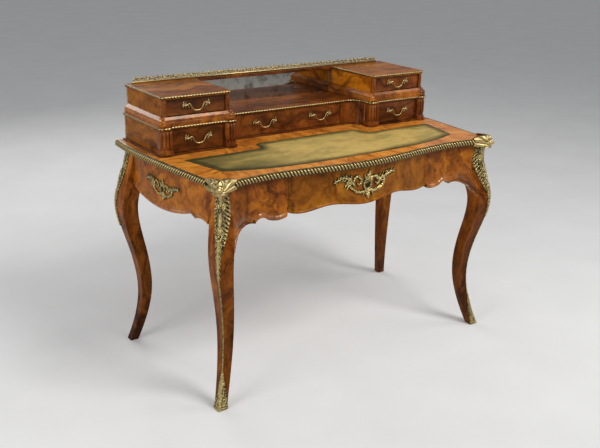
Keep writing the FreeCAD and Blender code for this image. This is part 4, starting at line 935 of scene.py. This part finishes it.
def gallery():
    """A pierced running scroll on a solid strip, with a bud over each pair of scrolls."""
    place = on_plane(0, GALLERY_FRONT, BOX_TOP)
    us = steps(-GALLERY_HALF, GALLERY_HALF, GALLERY_GRAIN)
    vs = steps(0, 23, GALLERY_GRAIN)
    made = []
    for step in range(-26, 27):
        x = step * GALLERY_PITCH
        between = x + GALLERY_PITCH / 2
        for side in BOTH:
            turns = (90 + side * 90, 90 - side * 330)
            made.append(spiral((x + side * 5, 11), (4.8, 1.4), turns, (1.8, 1.6, 1.4), 2))
            stem = [(x + side * 9, 5), (x + side * 7, 15), (x + side * 1.5, 17)]
            made.append(stroke(stem, (1.6, 1.5, 1.4), 2, 8))
        made.append(stroke([(x, 13), (x, 18), (x, 22.5)], (1.4, 2.6, 1), 2.2, 6))
        made.append(stroke([(between, 4), (between, 13), (between, 18)], (1.4, 2, 1.2), 2, 6))
    plate("gallery_scrolls", "old_brass", sheet_of(us, vs, made), place, "gallery")
    us = np.linspace(-GALLERY_HALF, GALLERY_HALF, 3)
    vs = np.linspace(0, 6.4, 9)
    round_off = np.sqrt(np.clip(1 - ((vs - 3.2) / 3.3) ** 2, 0, 1))
    strip = np.tile(1.2 + 3 * round_off[:, None], (1, 3))
    plate("gallery_strip", "brass", (us, vs, strip, 0 * strip + 1), place, "gallery")


# Reach, height, share of bead and brightness across a beaded line; the brightness is painted highlight and
# shade
BEADED = np.array((
    (0.3, -6, 0, 0.4), (1.2, -6, 0, 0.5), (1.4, -5.2, 0.2, 0.3), (2, -4.4, 0.8, 0.8), (2.3, -3, 1, 1),
    (2, -1.6, 0.8, 0.9), (1.4, -0.8, 0.2, 0.4), (1.2, 0, 0, 0.8), (0.3, 0, 0, 0.6),
))
BEAD_PITCH = 11.0
BEAD_DEPTH = 1.4
SHORTEST_LINE = 400


def bead_line(name, node, height, back, stands_for):
    """Beads on a flat strip along the front and sides of each outline."""
    reach, heights, beaded, shine = BEADED.T
    mass = Mass()
    for loop in rims(node, height):
        if lengths_along(loop)[-1] < SHORTEST_LINE:
            continue
        path = resampled(front_stretch(loop, back), 1.0)
        bead = ripples(lengths_along(path)[:, None] / BEAD_PITCH) ** 0.6
        outs = reach + BEAD_DEPTH * beaded * (bead - 0.5)
        # Painted highlights on the beads, painted shade between them.
        glow = shine * np.where(beaded > 0, 1.1 * bead - 0.2, 0.5)
        swept(mass, path, outward_of(path), outs, heights, glow)
    mass.piece(name, "brass", stands_for=[stands_for])


HANDLE_HALF = 42.0
NECK = (
    (HANDLE_HALF + 3.4, 0), (40, 0.2), (36, 2), (32, 4.4), (28, 4.8), (24.5, 1.6), (21.5, -5), (17, -12),
    (10, -17), (4, -18.6), (0, -18.8),
)
NECK_RADII = (1.6, 1.7, 2.0, 2.3, 1.9, 1.7, 2.2, 2.9, 2.2, 1.7, 1.9, 2.3, 2.0, 1.7, 1.6)
SLEEVE = ((2, 0), (-5, 1.6), (-12, 4.8))
ROSETTE_LEAVES = (((3, 13), 3.4), ((8, 3), 3.4), ((5, -9), 3), ((-4, -10), 2.8), ((-6, 10), 3))
POST = (
    (0, 0), (4.6, 0), (4.8, 1.2), (3.2, 2.4), (2.6, 4), (3.6, 5.2), (4, 7), (3.6, 8.8), (2.2, 10.2),
    (0, 10.6),
)
LEAF_GRAIN = 0.6


def handle(label, drawer, posts, x, y, z):
    """A swan-neck bail with leafy ends between two leaf rosettes."""
    bail = label + "_bail"
    right = flow(NECK, 30)
    wire = np.concatenate([right, (right * np.array((-1, 1)))[::-1][1:]])
    swan = Mass()
    tube(swan, xyz(x + wire[:, 0], y, z + wire[:, 1]), spread(NECK_RADII, len(wire)), 10)
    sleeve = [
        stroke(SLEEVE, (2.8, 2.8, 2.4), 3, 10),
        stroke([(-6, 2), (-10, -3), (-12.5, -9.5)], (2, 2.4, 0.8), 2.8, 10),
        *frond(flow(SLEEVE, 12), 3, 6, 1.6, 2.6, (1,), 45),
    ]
    sleeve = sheet_of(steps(-18, 6, LEAF_GRAIN), steps(-12, 9, LEAF_GRAIN), sleeve)
    leaf = [dome((0, 0), 6, 3.4)]
    for tip, width in ROSETTE_LEAVES:
        bend = (tip[0] * 0.75 + 1.5, tip[1] * 0.4)
        leaf.append(stroke([(0, 0), bend, tip], (2.4, width, 0.8), 4, 8))
    leaf = sheet_of(steps(-9, 13, LEAF_GRAIN), steps(-13, 15, LEAF_GRAIN), leaf)
    rosettes = Mass()
    for side in BOTH:
        end = x + side * HANDLE_HALF
        relief(swan, sleeve, on_plane(end, y + 0.6, z, side))
        relief(rosettes, leaf, on_plane(end, y + 8.8, z, side))
        turned(rosettes, (end, y + 7, z), FRONT, POST)
    swan.piece(label + "_swan_bail", "brass", bail, [bail])
    rosettes.piece(label + "_rosettes", "brass", drawer, [posts])


# Level of a drawer, and where its handle sits
SMALL_DRAWERS = (("upper", 430, 53, 890.5), ("lower", 428.5, 44, 784.5))
CENTRE_HANDLE = (121, 122, 784.5)


def handles():
    for name, side in SIDES:
        for level, x, y, z in SMALL_DRAWERS:
            label = f"{name}_{level}"
            handle(label, label + "_drawer", label + "_handle_posts", side * x, y, z)
    x, y, z = CENTRE_HANDLE
    for name, side in SIDES:
        handle("centre_" + name, "centre_drawer", "centre_handle_posts", side * x, y, z)


# Leather

LEATHER_STEP = 9.0
LEATHER_PROUD = 0.3
WORN_INSET = 34.0


def leather_sheet():
    """The skiver, slightly uneven, with its distance from the edge for the worn middle."""
    loop = resampled(rims("leather_skiver", TOP)[0], 6.0)[:-1, :2]

    def insets(points):
        return np.sqrt(((points[:, None, :] - loop[None]) ** 2).sum(-1)).min(1)

    rows = (np.arange(low, high, LEATHER_STEP) for low, high in zip(loop.min(0), loop.max(0)))
    grid = xyz(*np.meshgrid(*rows)).reshape(-1, 2)
    points = np.concatenate([loop, grid[insets(grid) > 5]])
    border = [list(range(len(loop)))]
    made = geometry.delaunay_2d_cdt([Vector(point) for point in points], [], border, 1, 1e-4)
    flat = np.array([tuple(point) for point in made[0]])
    inset = insets(flat)
    rise = 0.25 * np.sin(flat[:, 0] / 37) * np.sin(flat[:, 1] / 29) * np.clip(inset / 30, 0, 1)
    mass = Mass()
    heights = TOP + LEATHER_PROUD + rise
    mass.join(np.column_stack([flat, heights]), np.array(made[2]), np.clip(inset / WORN_INSET, 0, 1))
    mass.piece("leather_sheet", "leather", stands_for=["leather_skiver"])


# Wood mouldings

# Share of the full spread and height, from the fascia up the ogee
PLINTH = (
    (1, 828), (1, 840.6), (0.97, 841.2), (0.93, 841.4), (0.93, 842.6), (0.99, 843), (1, 844), (0.97, 846),
    (0.88, 848.4), (0.74, 850.6), (0.57, 852.6), (0.4, 854.6), (0.26, 856.4), (0.14, 857.8), (0.06, 858.6),
    (0, 859),
)
PLINTH_BLOCK = (
    (0, 0), (13.5, 0), (13.5, 9), (12, 10), (12.6, 13), (12.2, 16), (10, 19), (8.2, 22), (8.8, 24), (8.6, 28),
    (6, 31), (0, 31),
)
BOX_INNER, BOX_OUTER, BOX_FRONT, BOX_BACK = 306, 554, 56, 310
PLINTH_SIDE, PLINTH_FRONT = 14, 7
# Foot, head and radius of the reeds
TIER_REED = (756, 818, 4.4)
BOX_REED = (871, 912, 3.6)


def upper_plinths():
    """A fascia and an ogee under each upper box, with round blocks at the front corners."""
    mass = Mass()
    for side in BOTH:
        rings = []
        for share, z in PLINTH:
            inner = BOX_INNER - PLINTH_SIDE * share
            outer = BOX_OUTER + PLINTH_SIDE * share
            front = BOX_FRONT - PLINTH_FRONT * share
            rings.append(((inner, BOX_BACK, z), (inner, front, z), (outer, front, z), (outer, BOX_BACK, z)))
        grid = np.array(rings) * np.array((side, 1, 1))
        for first in range(3):
            mass.join(grid[:, first:first + 2], grid_faces(len(PLINTH), 2))
        for x in (BOX_INNER + 1, BOX_OUTER - 1):
            turned(mass, (side * x, BOX_FRONT + 2, SHELF_TOP), UP, PLINTH_BLOCK, 24)
    mass.piece("plinth_mouldings", "plinth_wood", stands_for=["upper_plinths"])


def reed(mass, x, y, low, high, radius):
    ends = (2, radius, radius, radius, radius, 2)
    tube(mass, xyz(x, y, np.linspace(low, high, len(ends))), ends, 12)


def reeds():
    """Upright reeds on the pilasters of the tier and the posts of the upper boxes."""
    mass = Mass()
    for loop in rims("tier_pilasters", 820)[:4]:
        face = loop[loop[:, 1] < loop[:, 1].min() + 26]
        middle = (face[:, 0].min() + face[:, 0].max()) / 2
        bearing = np.arctan2(face[:, 1] - loop[:, 1].max(), face[:, 0] - middle)
        path = resampled(face[np.argsort(bearing)], 0.5)
        run = lengths_along(path)
        for place in np.linspace(8, run[-1] - 8, 4):
            x, y = (np.interp(place, run, path[:, k]) for k in (0, 1))
            reed(mass, x, y, *TIER_REED)
    for side in BOTH:
        for x in (BOX_INNER + 8, BOX_OUTER - 8):
            reed(mass, side * x, BOX_FRONT + 0.5, *BOX_REED)
    mass.piece("pilaster_reeds", "post_wood")


LIP_LEVEL = 660.0
LIP_DEPTH = 4.0
LIP = np.array((
    (0, 22), (0.7, 17), (2, 13.4), (4, 11), (5.4, 10.2), (5.8, 9.2), (5.9, 5), (5.6, 1), (4.4, -0.6),
    (0, -0.8),
))


def edge_lip(name, node, out, reach, size, finish="lip_wood", body="desk"):
    """A lip with a hollow above it along the lower edge of a frieze board."""
    points, normals = face_line(node, out, reach, LIP_LEVEL * UP)
    points[:, 2] = meets([node], (points - LIP_DEPTH * out) * (1, 1, 0), UP)
    mass = Mass()
    swept(mass, points, normals, size * LIP[:, 0], size * LIP[:, 1])
    mass.piece(name, finish, body)


def frieze_lips():
    drawer_reach = np.linspace(-289, 289, 290)
    edge_lip("drawer_lip", "frieze_drawer_front", FRONT, drawer_reach, 0.55, "drawer_burr", "frieze_drawer")
    for name, side in SIDES:
        front_reach = side * np.linspace(297, 415, 100)
        edge_lip("apron_lip_" + name, "apron_front_" + name, FRONT, front_reach, 1.0)
        side_reach = side * np.linspace(-226, 200, 240)
        edge_lip("side_lip_" + name, "apron_" + name, sideways(side), side_reach, 0.8)


KNEE_RIM = (
    (413, -266, 578), (437, -269, 582), (456, -275, 579), (471, -282, 573), (482, -288.5, 567),
    (491, -297, 559), (502, -307, 545), (510, -314.5, 533), (517, -321, 521),
)
KNEE_ROOT = (
    (413, 597), (436, 608), (459, 622), (481, 636), (497, 640), (503, 612), (508, 584), (513, 556),
    (519, 524),
)
KNEE_LIP = ((0, 0), (0, 4.4), (0.6, 5.6), (8.4, 5.6), (10, 4.6), (12, 2.6), (16, 0.8))
KNEE_HOLLOW = 3.2
KNEE_DEPTH = 16.0


def knee_brackets():
    """Hollowed brackets that carry the lip of the front frieze down into the knees."""
    count = 60
    for name, side in SIDES:
        faces = ("apron_front_" + name, "leg_front_" + name)
        depths = meets(faces, [(side * x, -METRE, z) for x, z in KNEE_ROOT], -FRONT)
        root = flow([(side * x, y, z) for (x, z), y in zip(KNEE_ROOT, depths)], count)
        rim = flow([(side * x, y, z) for x, y, z in KNEE_RIM], count)
        rise = root - rim
        out = unit(np.cross(np.gradient(rim, axis=0), rise)) * -side
        size = np.minimum(1, np.linalg.norm(rise, axis=1)[:, None] / 26)
        columns = [rim + size * (unit(rise) * up + out * reach) for up, reach in KNEE_LIP]
        foot = columns[-1]
        for share in np.linspace(0.125, 1, 8):
            hollow = KNEE_HOLLOW * size * math.sin(math.pi * share) * (1 - share)
            columns.append(foot * (1 - share) + root * share - out * hollow)
        columns.append(2 * columns[-1] - columns[-2] - out * 0.4)
        behind = -FRONT * KNEE_DEPTH
        columns += [root + behind, rim + behind]
        mass = Mass()
        mass.join(np.stack(columns, 1), grid_faces(count, len(columns), True))
        mass.piece("knee_bracket_" + name, "lip_wood")


def drawer_end_beads():
    """A waved bead down each end of the frieze drawer."""
    low, high = 604, 708
    zs = np.linspace(low, high, 60)
    mass = Mass()
    for side in BOTH:
        xs = side * (284 + 3.5 * np.sin((zs - low) * 2 * math.pi / (high - low)))
        ys = meets(["frieze_drawer_front"], xyz(xs, -METRE, LIP_LEVEL), -FRONT)
        tube(mass, xyz(xs, ys + 0.8, zs), np.full(len(zs), 2.6), 10)
    mass.piece("drawer_end_beads", "drawer_burr", "frieze_drawer")


leather_sheet()
upper_plinths()
reeds()
frieze_lips()
knee_brackets()
drawer_end_beads()
gadroon_border()
corner_shells()
leg_mounts()
cartouches()
gallery()
bead_line("tier_beads", "tier_shelf", SHELF_TOP, 316, "tier_brass_moulding")
bead_line("upper_beads", "upper_tops", BOX_TOP, 318, "upper_brass_moulding")
handles()


# Room, light and camera

FLOOR_TONES = ((0.3, (0.66, 0.655, 0.645)), (0.7, (0.70, 0.695, 0.685)))
FLOOR_HALF = 30
CAMERA_PLACE = (-1.7068, -2.2861, 1.4452)
CAMERA_TURN = (35.95, -19.83, 1.57)
LENS = 50.03
SENSOR_WIDTH = 36
# Place, aim, width and height, and power of each lamp
LAMPS = {
    "key": ((-3.5, -0.7, 1.6), (0, 0, 0.5), (1.6, 1.6), 50),
    "front": ((0.95, -2.6, 3.5), (0, 0, 0.5), (1.5, 1.5), 112),
    "fill": ((3.2, -1.3, 2.8), (0, 0, 0.6), (1.6, 1.6), 25),
    "back": ((-0.3, 3.2, 2.3), (-0.2, 0, 0.8), (2.4, 1.2), 36),
}
SKY = (0.92, 0.94, 0.97, 1)
SKY_STRENGTH = 0.40


def floor():
    s = Shader("floor")
    s.set(Base_Color=s.ramp(s.noise(s.own, 3.0, 5.0), FLOOR_TONES), Roughness=0.65)
    s.set(Normal=s.bump(s.noise(s.own, 160.0, 3.0), 0.05, 0.002))
    mesh = bpy.data.meshes.new("floor")
    corners = [(x * FLOOR_HALF, y * FLOOR_HALF, 0) for x, y in ((-1, -1), (1, -1), (1, 1), (-1, 1))]
    mesh.from_pydata(corners, [], [(0, 1, 2, 3)])
    mesh.materials.append(s.material)
    ground = shown("floor", mesh)


def lamp(name, place, aim, size, power):
    data = bpy.data.lights.new(name, "AREA")
    data.shape = "RECTANGLE"
    data.size, data.size_y = size
    data.energy = power
    made = shown(name, data)
    made.location = place
    made.rotation_euler = (Vector(aim) - Vector(place)).to_track_quat("-Z", "Y").to_euler()


def camera():
    """The photograph's viewpoint: place, yaw from the front, pitch, roll and lens."""
    yaw, pitch, roll = (math.radians(angle) for angle in CAMERA_TURN)
    data = bpy.data.cameras.new("camera")
    data.lens = LENS
    data.sensor_width = SENSOR_WIDTH
    made = shown("camera", data)
    turn = Matrix.Identity(4)
    for angle, axis in ((-yaw, "Z"), (math.pi / 2 + pitch, "X"), (roll, "Z")):
        turn = turn @ Matrix.Rotation(angle, 4, axis)
    made.matrix_world = Matrix.Translation(CAMERA_PLACE) @ turn
    bpy.context.scene.camera = made


floor()
for name, settings in LAMPS.items():
    lamp(name, *settings)
camera()
world = bpy.data.worlds.new("world")
world.use_nodes = True
background = world.node_tree.nodes["Background"].inputs
background["Color"].default_value = SKY
background["Strength"].default_value = SKY_STRENGTH
bpy.context.scene.world = world
bpy.context.scene.view_settings.view_transform = "Standard"
